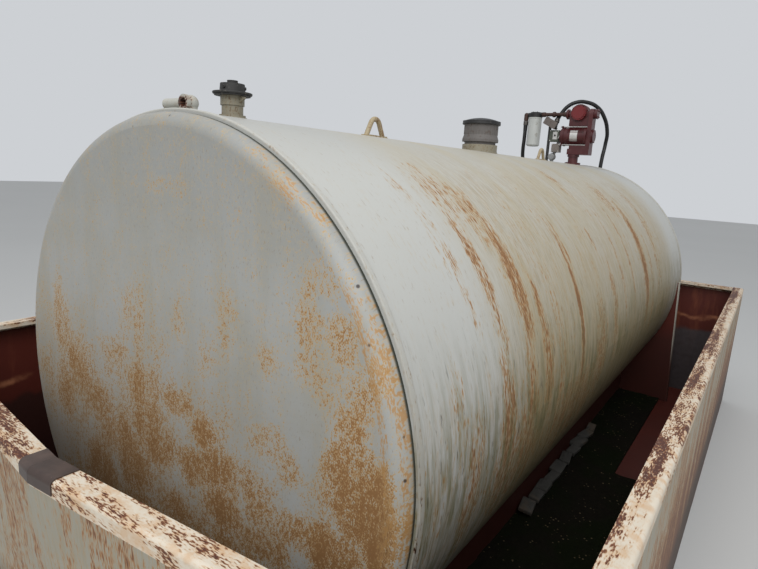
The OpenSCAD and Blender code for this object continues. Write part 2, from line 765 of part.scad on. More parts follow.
// The nozzle lies in the holster; its swivel turns up and back out of the lower end to meet the hose.
module nozzle() {
    rest_z = boot_t - boot_h / 2 + seat_gap + nozzle_r;
    tail = boot_l / 2 - 14;
    color([0.18, 0.17, 0.17]) {
        in_boot() translate([0, nozzle_off, rest_z]) {
            drum_x(nozzle_r, -boot_l / 2 + boot_t + 5, tail, 32);
            translate([tail, 0, 0]) sphere(nozzle_r, $fn = 32);
        }
        at_pump() translate([boot_x, boot_y + nozzle_off, boot_z])
            translate([tail * cos(boot_tilt) + rest_z * sin(boot_tilt), 0,
                rest_z * cos(boot_tilt) - tail * sin(boot_tilt)])
                rotate([-swivel_lean, 0, 0]) cylinder(r = nozzle_r - 1, h = swivel_l, $fn = 32);
    }
}

// Boxes and conduit

box_x = -165;
box_top = 148;
nipple_x = -144;
conduit_x = -160;

// The pump's switch box, fastened to the side of the post.
module switch_box() {
    color([0.33, 0.36, 0.32]) at_pump() {
        translate([post_x + post_d / 2 + seat_gap, -27, 163]) cube([71, 54, 84]);
    }
}

module junction_box() {
    color([0.33, 0.30, 0.28]) at_pump() {
        translate([box_x, -24, box_top - 62]) cube([60, 48, 62]);
        translate([nipple_x + 20, 0, box_top - 1]) cylinder(d = 18, h = 163 - seat_gap - box_top + 1, $fn = 32);
    }
}

// A round conduit fitting that stands on the shell and carries the junction box on a nipple.
module conduit_box() {
    color([0.45, 0.46, 0.45]) on_crown(conduit_x, pump_y) {
        translate([0, 0, 52]) sphere(d = 56, $fn = fitting_fn);
        translate([0, 0, -60]) cylinder(d = 27, h = 100, $fn = 32);
        translate([nipple_x - conduit_x, 0, 52]) cylinder(d = 14, h = box_top - 62 - 52 - seat_gap, $fn = 32);
    }
}

basin_floor();
front_wall();
back_wall();
left_wall();
right_wall();
front_rim();
back_rim();
left_rim();
right_rim();
rim_patch();
left_skid();
right_skid();
front_saddle();
rear_saddle();
tank_shell();
front_head();
rear_head();
front_lip();
rear_lip();
pipe_stub();
small_vent_neck();
small_vent_cap();
front_lifting_lug();
rear_lifting_lug();
emergency_vent_collar();
emergency_vent_body();
emergency_vent_lid();
emergency_vent_stem();
pump_pedestal();
pump_casing();
pump_motor();
motor_tie_rods();
pump_head();
pump_cover();
outlet_pipe();
filter_head();
filter_canister();
hose_elbow();
nozzle_post();
nozzle_boot();
nozzle();
switch_box();
junction_box();
conduit_box();
delivery_hose();
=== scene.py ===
"""A horizontal fuel storage tank with a transfer pump, in its open steel containment basin."""
import math
import random

import bmesh
import bpy
from mathutils import Matrix, Vector, geometry, noise


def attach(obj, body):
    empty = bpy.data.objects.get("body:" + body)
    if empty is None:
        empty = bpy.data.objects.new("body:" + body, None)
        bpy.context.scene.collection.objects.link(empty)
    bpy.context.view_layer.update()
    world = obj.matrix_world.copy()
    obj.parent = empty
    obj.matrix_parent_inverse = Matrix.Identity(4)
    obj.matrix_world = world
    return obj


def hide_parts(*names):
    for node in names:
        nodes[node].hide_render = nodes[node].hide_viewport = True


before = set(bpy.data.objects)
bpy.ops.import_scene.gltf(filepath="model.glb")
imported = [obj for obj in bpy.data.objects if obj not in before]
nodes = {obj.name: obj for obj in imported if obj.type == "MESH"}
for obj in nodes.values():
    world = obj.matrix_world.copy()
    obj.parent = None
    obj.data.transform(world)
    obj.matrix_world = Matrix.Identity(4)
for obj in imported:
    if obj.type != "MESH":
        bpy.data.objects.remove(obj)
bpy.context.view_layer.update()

# Camera
# It stands in front of the tank, at a person's eye height beside the basin's near right corner.
# It looks along the tank and a little down, so the whole near head and the far pump show.
camera_data = bpy.data.cameras.new("view_along_tank")
camera_data.sensor_width = 36.0
camera_data.lens = 26.035
camera_data.clip_end = 200.0
camera = bpy.data.objects.new("view_along_tank", camera_data)
bpy.context.scene.collection.objects.link(camera)
view_right = Vector((0.80787001, 0.58669837, 0.05595598))
view_up = Vector((-0.16426119, 0.13296356, 0.97741442))
view_back = Vector((0.56600734, -0.7988152, 0.20378905))
camera.matrix_world = Matrix.Translation((1.302354, -2.58937, 1.555392)) @ Matrix(
    (view_right, view_up, view_back)).transposed().to_4x4()
bpy.context.scene.camera = camera

# Delivery hose
# A 3.7 m black rubber hose with a 28 mm cover. It leaves the elbow beside the filter, crosses the shell's
# rear shoulder, hangs behind the rear head, and comes up over the pump and down to the nozzle. A crimped
# ferrule and a tapered rubber sleeve hold it at each end.
seam_y = -1.718
axis_z = 0.864
tank_radius = 0.813
crown_z = axis_z + tank_radius
pump_y = seam_y + 3.376
hose_radius = 0.014
hose_route = [
    (-396, 0, 318), (-396, 1, 180), (-400, 7, 115), (-407, 31, 59), (-409, 55, 14), (-410, 84, -28),
    (-412, 114, -58), (-414, 152, -79), (-413, 191, -88), (-414, 230, -89), (-413, 271, -100),
    (-412, 309, -125), (-410, 341, -167), (-407, 355, -222), (-404, 342, -330), (-394, 318, -470),
    (-384, 288, -600), (-368, 268, -720), (-340, 264, -830), (-290, 264, -926), (-212, 264, -995),
    (-110, 264, -1018), (-10, 264, -979), (62, 264, -895), (104, 264, -780), (127, 264, -630),
    (135, 264, -460), (135, 264, -280), (133, 266, -100), (138, 270, 60), (141, 301, 170),
    (150, 273, 259), (123, 205, 376), (77, 164, 435), (10, 116, 462), (-46, 78, 458),
    (-100, 55, 428), (-139, 41, 376), (-155, 14, 329), (-155, -1, 303)]


def by_pump(x, y, z):
    """A point given in millimetres: across, from the pump towards the rear, and up from the tank's crown."""
    return Vector((x / 1000, pump_y + y / 1000, crown_z + z / 1000))


def put(tree, kind, inputs, output=0, **settings):
    """Adds a shader node and returns one of its outputs; an input may be a plain value or a mask."""
    node = tree.nodes.new("ShaderNode" + kind)
    for key, value in settings.items():
        setattr(node, key, value)
    for key, value in inputs.items():
        if isinstance(value, Mask):
            value.to(node.inputs[key])
        else:
            node.inputs[key].default_value = value
    return Mask(node.outputs[output])


class Mask:
    """A value, place or colour that changes over a surface. Sums and products of masks add Math nodes."""

    def __init__(self, socket):
        self.socket = socket
        self.tree = socket.id_data

    def to(self, socket):
        """Feeds a socket of the same tree."""
        self.tree.links.new(self.socket, socket)

    def beside(self, output):
        """Another output of the node that this mask comes from."""
        return Mask(self.socket.node.outputs[output])

    def math(self, operation, *others):
        return put(self.tree, "Math", dict(enumerate((self, *others))), operation=operation)

    def way(self, letter):
        return put(self.tree, "SeparateXYZ", {0: self}, letter)

    x = property(lambda self: self.way("X"))
    y = property(lambda self: self.way("Y"))
    z = property(lambda self: self.way("Z"))

    def __add__(self, other):
        return self.math("ADD", other)

    def __sub__(self, other):
        return self.math("SUBTRACT", other)

    def __rsub__(self, other):
        return put(self.tree, "Math", {0: other, 1: self}, operation="SUBTRACT")

    def __mul__(self, other):
        return self.math("MULTIPLY", other)

    def __truediv__(self, other):
        return self.math("DIVIDE", other)

    def __gt__(self, other):
        return self.math("GREATER_THAN", other)

    def __lt__(self, other):
        return self.math("LESS_THAN", other)

    def __abs__(self):
        return self.math("ABSOLUTE")


def part_of(value, low, high):
    """Goes smoothly from 0 where value is low to 1 where it is high."""
    return put(value.tree, "MapRange", {"Value": value, "From Min": low, "From Max": high}, "Result",
               interpolation_type="SMOOTHSTEP")


def grain(place, per_metre, detail=3.0, coarseness=0.55):
    """Cloudy noise from 0 to 1."""
    return put(place.tree, "TexNoise", {"Vector": place, "Scale": per_metre, "Detail": detail,
                                        "Roughness": coarseness}, "Fac")


def rgb(colour):
    """A colour written as it looks on a screen, each part from 0 to 255; a mask stays as it is."""
    if isinstance(colour, Mask):
        return colour
    parts = [part / 255 for part in colour]
    return (*[part / 12.92 if part <= 0.04 else ((part + 0.055) / 1.055) ** 2.4 for part in parts], 1.0)


def tint(mask, under, over):
    """The colour over laid on the colour under where mask is 1."""
    return put(mask.tree, "Mix", {0: mask, 6: rgb(under), 7: rgb(over)}, 2, data_type="RGBA")


def layered(colour, *layers):
    """Lays colours on a colour, each where its mask is 1: layers are (mask, colour)."""
    for mask, over in layers:
        colour = tint(mask, colour, over)
    return colour


def new_group(name, inputs, outputs):
    """An empty shader node group: returns it, its inputs by name, and the sockets that it puts out."""
    group = bpy.data.node_groups.new(name, "ShaderNodeTree")
    for in_out, sockets in (("INPUT", inputs), ("OUTPUT", outputs)):
        for socket, kind in sockets.items():
            group.interface.new_socket(socket, in_out=in_out, socket_type="NodeSocket" + kind)
    entry = group.nodes.new("NodeGroupInput")
    given = {socket: Mask(entry.outputs[socket]) for socket in inputs}
    return group, given, group.nodes.new("NodeGroupOutput").inputs


flecks_group, given, out = new_group("flecks", {
    "Place": "Vector", "Low": "Float", "High": "Float", "Per Metre": "Float", "Detail": "Float",
    "Coarseness": "Float"}, {"Mask": "Float"})
part_of(grain(*[given[key] for key in ("Place", "Per Metre", "Detail", "Coarseness")]),
        given["Low"], given["High"]).to(out["Mask"])
mottle_group, given, out = new_group("mottle", {
    "Place": "Vector", "Dark": "Color", "Pale": "Color", "Per Metre": "Float", "Detail": "Float",
    "Coarseness": "Float"}, {"Colour": "Color"})
tint(grain(*[given[key] for key in ("Place", "Per Metre", "Detail", "Coarseness")]),
     given["Dark"], given["Pale"]).to(out["Colour"])


def flecks(place, low, high, per_metre, detail=3.0, coarseness=0.55):
    """Cloudy marks: nothing where the noise is low, and all where it is high."""
    return put(place.tree, "Group", {"Place": place, "Low": low, "High": high, "Per Metre": per_metre,
                                     "Detail": detail, "Coarseness": coarseness}, node_tree=flecks_group)


def mottle(place, dark, pale, per_metre, detail=3.0, coarseness=0.55):
    """A colour that wanders between two."""
    return put(place.tree, "Group", {"Place": place, "Dark": rgb(dark), "Pale": rgb(pale), "Per Metre": per_metre,
                                     "Detail": detail, "Coarseness": coarseness}, node_tree=mottle_group)


def new_finish(name, roughness=0.6, metallic=0.0, coat=0.0):
    """An empty material: returns it, its shader and the place on the object."""
    material = bpy.data.materials.new(name)
    material.use_nodes = True
    shader = material.node_tree.nodes["Principled BSDF"]
    for key, value in (("Roughness", roughness), ("Metallic", metallic), ("Coat Weight", coat)):
        shader.inputs[key].default_value = value
    return material, shader, put(material.node_tree, "TexCoord", {}, "Object")


def lay_on(shader, colour, height, strength, distance):
    """Colours a surface, and raises it by height."""
    colour.to(shader.inputs["Base Color"])
    bump = put(colour.tree, "Bump", {"Height": height, "Strength": strength, "Distance": distance})
    bump.to(shader.inputs["Normal"])


def dull(shader, mask, least, most):
    """Makes a surface rougher where mask is 1."""
    put(mask.tree, "MapRange", {"Value": mask, "To Min": least, "To Max": most}).to(shader.inputs["Roughness"])


def pick(*pieces):
    """Selects these pieces and nothing else."""
    bpy.ops.object.select_all(action="DESELECT")
    for piece in pieces:
        piece.select_set(True)
    if pieces:
        bpy.context.view_layer.objects.active = pieces[0]


def at(place, axis=(0, 0, 1), turn=0.0):
    """The matrix that stands a piece at a place, with its Z along axis."""
    stand = Vector(axis).to_track_quat("Z", "Y").to_matrix().to_4x4()
    return Matrix.Translation(place) @ stand @ Matrix.Rotation(turn, 4, "Z")


def turned(radius, steps, sides=32):
    """Draws a disc up from the origin in steps of (rise, new radius), as on a lathe."""
    pick()
    bpy.ops.mesh.primitive_circle_add(vertices=sides, radius=radius, fill_type="NGON", location=(0, 0, 0))
    bpy.ops.object.mode_set(mode="EDIT")
    bpy.ops.mesh.select_all(action="SELECT")
    height = 0.0
    for rise, wide in steps:
        bpy.ops.mesh.extrude_region_move(TRANSFORM_OT_translate={"value": (0, 0, rise)})
        height += rise
        if abs(wide - radius) > 1e-7:
            bpy.ops.transform.resize(value=(wide / radius, wide / radius, 1), center_override=(0, 0, height))
        radius = wide
    bpy.ops.mesh.select_all(action="SELECT")
    bpy.ops.mesh.normals_make_consistent(inside=False)
    bpy.ops.object.mode_set(mode="OBJECT")
    return bpy.context.object


def strand(points, radii, sides=3):
    """A round bar through the points, as thick at each as its radius says, made a mesh."""
    curve = bpy.data.curves.new("strand", "CURVE")
    curve.dimensions = "3D"
    curve.bevel_depth = 1.0
    curve.bevel_resolution = sides
    curve.use_fill_caps = True
    spline = curve.splines.new("POLY")
    spline.points.add(len(points) - 1)
    for point, place, radius in zip(spline.points, points, radii):
        point.co = (*place, 1.0)
        point.radius = radius
    bar = bpy.data.objects.new("strand", curve)
    bpy.context.scene.collection.objects.link(bar)
    pick(bar)
    bpy.ops.object.convert(target="MESH")
    return bpy.context.object


def settle(piece, name, finish, body="tank", smooth=35, stand=None):
    """Stands a piece in its place, fixes that in its mesh, smooths it, paints it and hangs it on its body."""
    pick(piece)
    if stand:
        piece.matrix_world = stand
    bpy.ops.object.transform_apply(location=True, rotation=True, scale=True)
    bpy.ops.object.shade_smooth_by_angle(angle=math.radians(smooth))
    piece.name = piece.data.name = name
    piece.data.materials.clear()
    piece.data.materials.append(finish)
    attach(piece, body)


rubber, shader, spot = new_finish("black_rubber", roughness=0.5)
dust = flecks(spot, 0.45, 0.75, 22.0, 5.0)
lay_on(shader, tint(dust, (15, 15, 16), (36, 35, 33)), grain(spot, 400.0), 0.2, 0.001)
dull(shader, dust, 0.42, 0.75)

hose_points = [by_pump(*point) for point in hose_route]
curve = bpy.data.curves.new("hose_line", "CURVE")
curve.dimensions = "3D"
curve.bevel_depth = hose_radius
curve.bevel_resolution = 5
curve.resolution_u = 8
curve.use_fill_caps = True
line = curve.splines.new("BEZIER")
line.bezier_points.add(len(hose_points) - 1)
for knot, place in zip(line.bezier_points, hose_points):
    knot.co = place
    knot.handle_left_type = knot.handle_right_type = "AUTO"
hose = bpy.data.objects.new("hose_line", curve)
bpy.context.scene.collection.objects.link(hose)
curve.materials.append(rubber)
bpy.context.view_layer.update()
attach(hose, "tank")
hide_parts("delivery_hose")

hose_path = []
for left, right in zip(line.bezier_points[:-1], line.bezier_points[1:]):
    hose_path += geometry.interpolate_bezier(left.co, left.handle_right, right.handle_left, right.co, 24)[:-1]
hose_path.append(line.bezier_points[-1].co.copy())


def along_hose(path, start, end, count):
    """Points on the hose's line between two distances from the path's first point."""
    reached = [0.0]
    for a, b in zip(path[:-1], path[1:]):
        reached.append(reached[-1] + (b - a).length)
    found = []
    for k in range(count):
        want = start + (end - start) * k / (count - 1)
        i = max(j for j in range(len(path) - 1) if reached[j] <= want)
        found.append(path[i].lerp(path[i + 1], (want - reached[i]) / (reached[i + 1] - reached[i])))
    return found


crimped, shader, spot = new_finish("crimped_steel", roughness=0.45, metallic=0.7)
worn = flecks(spot, 0.45, 0.7, 60.0, 5.0)
lay_on(shader, tint(worn, (96, 92, 88), (58, 46, 40)), grain(spot, 250.0), 0.3, 0.001)
groove = [(0.006, 0.0186), (0.0008, 0.0178), (0.003, 0.0178), (0.0008, 0.0186)]
for end, path in (("outlet", hose_path), ("nozzle", hose_path[::-1])):
    sleeve_line = along_hose(path, 0.004, 0.078, 14)
    sleeve = strand(sleeve_line, [0.0172 - 0.0026 * k / 13 for k in range(14)], sides=5)
    settle(sleeve, "hose_sleeve_" + end, rubber)
    ferrule = turned(0.0172, [(0.002, 0.0186), *groove, *groove, (0.004, 0.0186), (0.0015, 0.0172)])
    ferrule.matrix_world = at(path[0].lerp(path[1], 0.5), along_hose(path, 0.0, 0.02, 2)[1] - path[0])
    settle(ferrule, "hose_ferrule_" + end, crimped)

# Tank
# The shell and its two flat heads are rolled and flanged steel plate, welded inside raised lips.
# The white paint is chalky. Rust runs down round the shell and speckles the heads.
def place_of(first, second, third):
    """A place made of three values, the first of them a mask."""
    return put(first.tree, "CombineXYZ", {0: first, 1: second, 2: third})


patch_inputs = ("Across", "Along", "Amount", "Stretch", "Seed")
patch_group, given, out = new_group("rust_patches", dict.fromkeys(patch_inputs, "Float"),
                                    dict.fromkeys(("Stain", "Rust", "Core"), "Float"))
place = place_of(given["Across"], given["Along"] / given["Stretch"], given["Seed"])
flaked = given["Amount"] - 1.0
for per_metre, share in ((12.0, 0.17), (75.0, 0.34), (260.0, 0.49)):
    flaked = flaked + part_of(grain(place, per_metre, 1.0), 0.3, 0.7) * share
for name, low, high in (("Stain", -0.34, 0.16), ("Rust", -0.05, 0.14), ("Core", 0.12, 0.34)):
    part_of(flaked, low, high).to(out[name])


def rusted(*values):
    """Stain, rust and dark core of flaked paint: across, along the way down, amount, stretch and seed."""
    stain = put(values[0].tree, "Group", dict(zip(patch_inputs, values)), node_tree=patch_group)
    return stain, stain.beside("Rust"), stain.beside("Core")


run_inputs = ("Across", "Along", "Per Metre", "Stretch", "Low", "High", "Seed")
run_group, given, out = new_group("run_marks", dict.fromkeys(run_inputs, "Float"), {"Mask": "Float"})
place = place_of(given["Across"], given["Along"] / given["Stretch"], given["Seed"])
part_of(grain(place, given["Per Metre"], 3.0, 0.6), given["Low"], given["High"]).to(out["Mask"])


def runs(*values):
    """Long marks down a surface: across, along the way down, marks per metre, stretch, low, high and seed."""
    return put(values[0].tree, "Group", dict(zip(run_inputs, values)), node_tree=run_group)


blot_inputs = ("Across", "Along", "Centre Across", "Centre Along", "Half Across", "Half Along")
blot_group, given, out = new_group("soft_blot", dict.fromkeys(blot_inputs, "Float"), {"Mask": "Float"})
shares = [(given[way] - given["Centre " + way]) / given["Half " + way] for way in ("Across", "Along")]
part_of(shares[0] * shares[0] + shares[1] * shares[1], 1.9, 0.0).to(out["Mask"])


def blots(across, along, places):
    """The strongest of several soft spots, each (centre across, along, half sizes, strength)."""
    total = None
    for *place, strength in places:
        inputs = dict(zip(blot_inputs, (across, along, *place)))
        blot = put(across.tree, "Group", inputs, node_tree=blot_group) * strength
        total = total.math("MAXIMUM", blot) if total else blot
    return total


def round_shell(spot):
    """The way along the tank, and the way down from the crown on either side, in metres."""
    return spot.y, spot.x.math("ARCTAN2", spot.z - axis_z) * tank_radius


def repaint(finish, *names):
    """Gives a finish to CAD nodes."""
    for name in names:
        nodes[name].data.materials.clear()
        nodes[name].data.materials.append(finish)


shell_length = 3.58

# Rust runs on the shell: place along the tank, way down from the crown, half sizes and strength
shell_runs = [
    (-1.37, 0.75, 0.022, 0.36, 0.50), (-1.40, 0.62, 0.012, 0.20, 0.42), (-1.20, 0.52, 0.10, 0.16, 0.50),
    (-1.10, 0.62, 0.07, 0.13, 0.55), (-1.245, 0.82, 0.032, 0.22, 0.86), (-1.06, 0.88, 0.042, 0.22, 0.92),
    (-0.95, 0.97, 0.020, 0.11, 0.66), (-1.44, 1.32, 0.06, 0.24, 0.42), (-1.52, 1.10, 0.035, 0.12, 0.36),
    (-1.15, 1.40, 0.22, 0.16, 0.52), (-0.6, 1.42, 0.3, 0.14, 0.5), (-1.25, 1.16, 0.050, 0.24, 0.66),
    (-1.08, 1.22, 0.050, 0.22, 0.58), (-0.93, 1.15, 0.050, 0.16, 0.64), (-0.565, 1.04, 0.019, 0.34, 1.00),
    (-0.53, 0.78, 0.012, 0.12, 0.66), (0.0, 0.44, 0.045, 0.15, 0.45), (0.64, 0.95, 0.055, 0.34, 0.95),
    (0.52, 0.60, 0.09, 0.12, 0.58), (-0.16, 0.79, 0.016, 0.05, 0.62), (0.33, 0.86, 0.016, 0.30, 0.62),
    (-0.07, 1.10, 0.04, 0.18, 0.50), (0.13, 1.00, 0.02, 0.30, 0.46), (0.80, 1.10, 0.03, 0.30, 0.50),
    (-0.80, 1.16, 0.05, 0.28, 0.42), (1.02, 0.90, 0.06, 0.45, 0.40), (-0.30, 1.25, 0.10, 0.22, 0.45)]
shell_paint, shader, spot = new_finish("chalky_white_shell", roughness=0.55)
along_tank, down = round_shell(spot)
low_side = abs(down)
shifted = along_tank + (down < 0.0) * 0.17
aged = part_of(along_tank, -1.42, -0.95) * part_of(along_tank, 1.62, 1.2)
broad = runs(along_tank, down, 5.0, 4.0, 0.38, 0.62, 7.0)
hair = runs(along_tank, down, 170.0, 12.0, 0.46, 0.62, 3.0)
aged_low = (aged * 0.75).math("MAXIMUM", part_of(low_side, 0.95, 1.3)) * part_of(low_side, 0.12, 0.6)
lanes = runs(along_tank, down, 70.0, 14.0, 0.46, 0.66, 13.0)
amount = blots(shifted, low_side, shell_runs) * 0.68 + aged_low * 0.22
stain, rust, core = rusted(along_tank, down, amount, 6.0, 1.0)
mould = runs(along_tank, down, 40.0, 8.0, 0.4, 0.66, 11.0) * part_of(low_side, 0.85, 1.35)
ticks = runs(along_tank, down, 110.0, 9.0, 0.62, 0.68, 5.0) * part_of(low_side, 0.85, 1.15)
specks = runs(along_tank, down, 160.0, 6.0, 0.63, 0.69, 17.0)
colour = layered(
    mottle(spot, (182, 182, 177), (190, 190, 184), 2.2),
    (part_of(low_side, 0.55, 0.1) * 0.6, (164, 164, 159)),
    (aged * (broad * 0.6 + 0.4) * 0.85, (178, 170, 148)),
    (aged * part_of(low_side, 0.35, 1.5) * 0.75, (150, 134, 98)),
    (hair * aged_low * 0.55, (138, 120, 84)),
    (lanes * aged_low * 0.45, (156, 132, 88)),
    (stain * 0.45, (180, 156, 110)),
    (rust * 0.72, (162, 114, 58)),
    (core * 0.75, (114, 70, 36)),
    (mould * 0.7, (104, 104, 66)),
    (ticks * 0.75, (62, 58, 42)),
    (specks * 0.4, (140, 118, 86)),
    (part_of(low_side, 1.1, 1.9) * 0.75, (74, 68, 48)))
lay_on(shader, colour, grain(spot, 60.0) - rust * 0.6, 0.2, 0.002)
dull(shader, rust, 0.5, 0.8)
repaint(shell_paint, "tank_shell")

# Rust on the head that shows: place across, height, half sizes and strength, and then where it is clean
head_rust = [
    (0.57, 1.32, 0.05, 0.05, 0.68), (0.55, 1.24, 0.06, 0.08, 0.60), (0.63, 1.21, 0.06, 0.06, 0.72),
    (0.59, 1.14, 0.08, 0.08, 0.50), (0.69, 1.12, 0.05, 0.11, 0.72), (0.67, 1.02, 0.05, 0.08, 0.76),
    (0.67, 0.93, 0.07, 0.09, 0.92), (0.73, 0.93, 0.04, 0.08, 0.85), (0.70, 0.85, 0.09, 0.07, 0.88),
    (0.75, 0.82, 0.04, 0.10, 0.90), (0.61, 0.72, 0.10, 0.06, 0.78), (0.28, 1.18, 0.035, 0.09, 0.48),
    (0.20, 1.09, 0.035, 0.07, 0.36), (0.08, 1.14, 0.03, 0.06, 0.34), (0.42, 1.12, 0.04, 0.04, 0.48),
    (-0.13, 1.12, 0.05, 0.10, 0.38), (-0.58, 1.02, 0.05, 0.14, 0.48), (-0.46, 0.88, 0.09, 0.10, 0.55),
    (-0.25, 0.98, 0.06, 0.05, 0.50), (-0.58, 0.77, 0.06, 0.10, 0.58), (-0.34, 0.78, 0.09, 0.07, 0.52),
    (-0.10, 0.91, 0.08, 0.07, 0.56), (0.06, 0.91, 0.08, 0.04, 0.50), (-0.09, 0.82, 0.09, 0.08, 0.52),
    (-0.25, 0.69, 0.11, 0.08, 0.60), (-0.03, 0.75, 0.09, 0.06, 0.60), (0.18, 0.86, 0.05, 0.05, 0.80),
    (0.13, 0.74, 0.08, 0.05, 0.74), (0.21, 0.77, 0.04, 0.06, 0.82), (-0.16, 0.62, 0.10, 0.07, 0.58),
    (0.29, 0.77, 0.05, 0.06, 0.62), (0.43, 0.91, 0.06, 0.05, 0.50), (0.49, 0.87, 0.04, 0.06, 0.58),
    (0.37, 0.78, 0.08, 0.05, 0.58), (-0.36, 0.55, 0.10, 0.08, 0.66), (0.05, 0.58, 0.09, 0.05, 0.58),
    (0.26, 0.67, 0.08, 0.05, 0.66), (0.43, 0.71, 0.08, 0.06, 0.74), (0.54, 0.72, 0.07, 0.05, 0.74),
    (0.43, 0.64, 0.08, 0.05, 0.78), (0.04, 1.49, 0.10, 0.025, 0.42), (0.2, 0.42, 0.5, 0.16, 0.66),
    (-0.3, 0.36, 0.4, 0.16, 0.66)]
head_clean = [(0.58, 1.28, 0.02, 0.018, 1.0), (0.65, 1.30, 0.02, 0.022, 1.0), (0.69, 1.22, 0.012, 0.04, 1.0),
              (0.742, 1.04, 0.016, 0.07, 1.0), (0.53, 0.98, 0.05, 0.09, 0.8), (0.50, 0.80, 0.025, 0.025, 1.0)]
rear_rust = [
    (-0.62, 1.16, 0.12, 0.24, 0.8), (-0.30, 0.82, 0.22, 0.12, 0.66), (0.10, 0.70, 0.24, 0.16, 0.7),
    (0.52, 0.94, 0.12, 0.24, 0.6), (0.66, 0.70, 0.10, 0.22, 0.7), (-0.10, 1.20, 0.08, 0.2, 0.4),
    (0.30, 1.30, 0.06, 0.16, 0.38), (-0.2, 0.42, 0.5, 0.16, 0.7), (0.3, 0.36, 0.4, 0.16, 0.66)]
rear_clean = [(0.1, 1.02, 0.14, 0.08, 0.7), (-0.5, 0.62, 0.05, 0.1, 0.9)]


def head_finish(name, end_y, rust_places, clean_places, seed):
    """Paint of one head: clean grey white above, speckled with rust below and along its edge."""
    material, shader, spot = new_finish(name, roughness=0.55)
    side, height = spot.x, spot.z
    level = height - axis_z
    from_centre = (side * side + level * level).math("SQRT")
    turn = side.math("ARCTAN2", level) * tank_radius
    dirt = runs(side, height, 9.0, 6.0, 0.42, 0.7, seed + 4.0)
    amount = blots(side, height, rust_places) * 0.5 - blots(side, height, clean_places) * 0.35
    lower = part_of(height, 1.35, 0.7)
    drift = part_of(runs(side, height, 3.2, 2.2, 0.35, 0.65, seed), 0.0, 1.0)
    amount = amount + drift * lower * 0.24 + (lower * 0.12 + 0.1)
    amount = amount + runs(side, height, 22.0, 7.0, 0.36, 0.64, seed + 6.0) * 0.1
    stain, rust, core = rusted(side * 1.5, height, amount, 1.3, seed)
    specks = runs(side, height, 220.0, 3.0, 0.6, 0.68, seed + 2.0)
    edge = part_of(from_centre, 0.725, 0.775) * part_of(turn, 0.25, 0.6)
    strands = runs(from_centre, turn, 44.0, 12.0, 0.42, 0.56, seed + 2.0) * edge
    edge_stain, edge_rust, _ = rusted(from_centre * 1.6, turn, strands * 0.54, 2.6, seed + 7.0)
    low_left = part_of(height, 0.95, 0.5) * part_of(side, 0.35, -0.4)
    chips = put(spot.tree, "TexVoronoi", {"Vector": spot, "Scale": 21.0}, "Distance", feature="F1")
    chosen = put(spot.tree, "SeparateColor", {0: chips.beside("Color")}) > 0.45
    pits = part_of(chips, 0.13, 0.07) * part_of(from_centre, 0.765, 0.785) * chosen
    colour = layered(
        mottle(spot, (158, 160, 158), (168, 169, 166), 1.6),
        (flecks(spot, 0.4, 0.7, 5.0, 4.0) * 0.4, (152, 148, 134)),
        # Painted light and shade: each head is painted darker near its top and lighter low down, evening out how the
        # lamp falls on it
        (part_of(height, 1.2, 1.62) * 0.6, (140, 141, 138)),
        (part_of(height, 1.15, 0.55) * 0.65, (192, 193, 188)),
        (dirt * 0.35, (150, 144, 126)),
        (stain * 0.62, (188, 166, 124)),
        (rust * 0.72, (178, 134, 74)),
        (core * 0.75, (130, 86, 42)),
        (specks * 0.45, (132, 112, 84)),
        (edge_stain * 0.5, (184, 154, 108)),
        (edge_rust * 0.72, (170, 126, 72)),
        (low_left * 0.4, (112, 88, 62)),
        (pits * 0.9, (46, 30, 22)),
        (part_of(abs(spot.y - end_y), 0.013, 0.004), (44, 48, 38)))
    lay_on(shader, colour, grain(spot, 55.0) - rust * 0.7, 0.2, 0.002)
    dull(shader, rust, 0.5, 0.8)
    return material


repaint(head_finish("chalky_white_head", seam_y, head_rust, head_clean, 1.0), "front_head")
repaint(head_finish("chalky_white_rear_head", seam_y + shell_length, rear_rust, rear_clean, 21.0), "rear_head")

lip_paint, shader, spot = new_finish("worn_lip_paint", roughness=0.5)
along_tank, down = round_shell(spot)
low_side = abs(down)
stain, rust, core = rusted(along_tank, down, part_of(low_side, 1.0, 1.75) * 0.36 + 0.1, 3.0, 9.0)
colour = layered(
    mottle(spot, (176, 175, 168), (188, 187, 180), 14.0, 4.0),
    (part_of(low_side, 0.7, 1.4) * 0.4, (146, 138, 116)),
    (stain * 0.5, (168, 146, 112)),
    (rust, (84, 54, 36)),
    (core, (38, 26, 22)))
lay_on(shader, colour, grain(spot, 70.0) - rust, 0.3, 0.001)
repaint(lip_paint, "front_lip", "rear_lip")


def weld_run(points, size, ripple):
    """A run of weld through the points, a little uneven in size."""
    return strand(points, [size + random.uniform(-ripple, ripple) for _ in points], sides=1)


# A run of weld lies in the corner between each lip and the shell
random.seed(3)
for end, weld_y in (("front", seam_y + 0.0195), ("rear", seam_y + shell_length - 0.0195)):
    ring = []
    for k in range(361):
        swing = math.radians(k)
        reach = tank_radius + 0.001 + 0.0006 * math.sin(37 * swing)
        ring.append((reach * math.sin(swing), weld_y, axis_z + reach * math.cos(swing)))
    settle(weld_run(ring, 0.0028, 0.0005), "lip_weld_" + end, lip_paint)

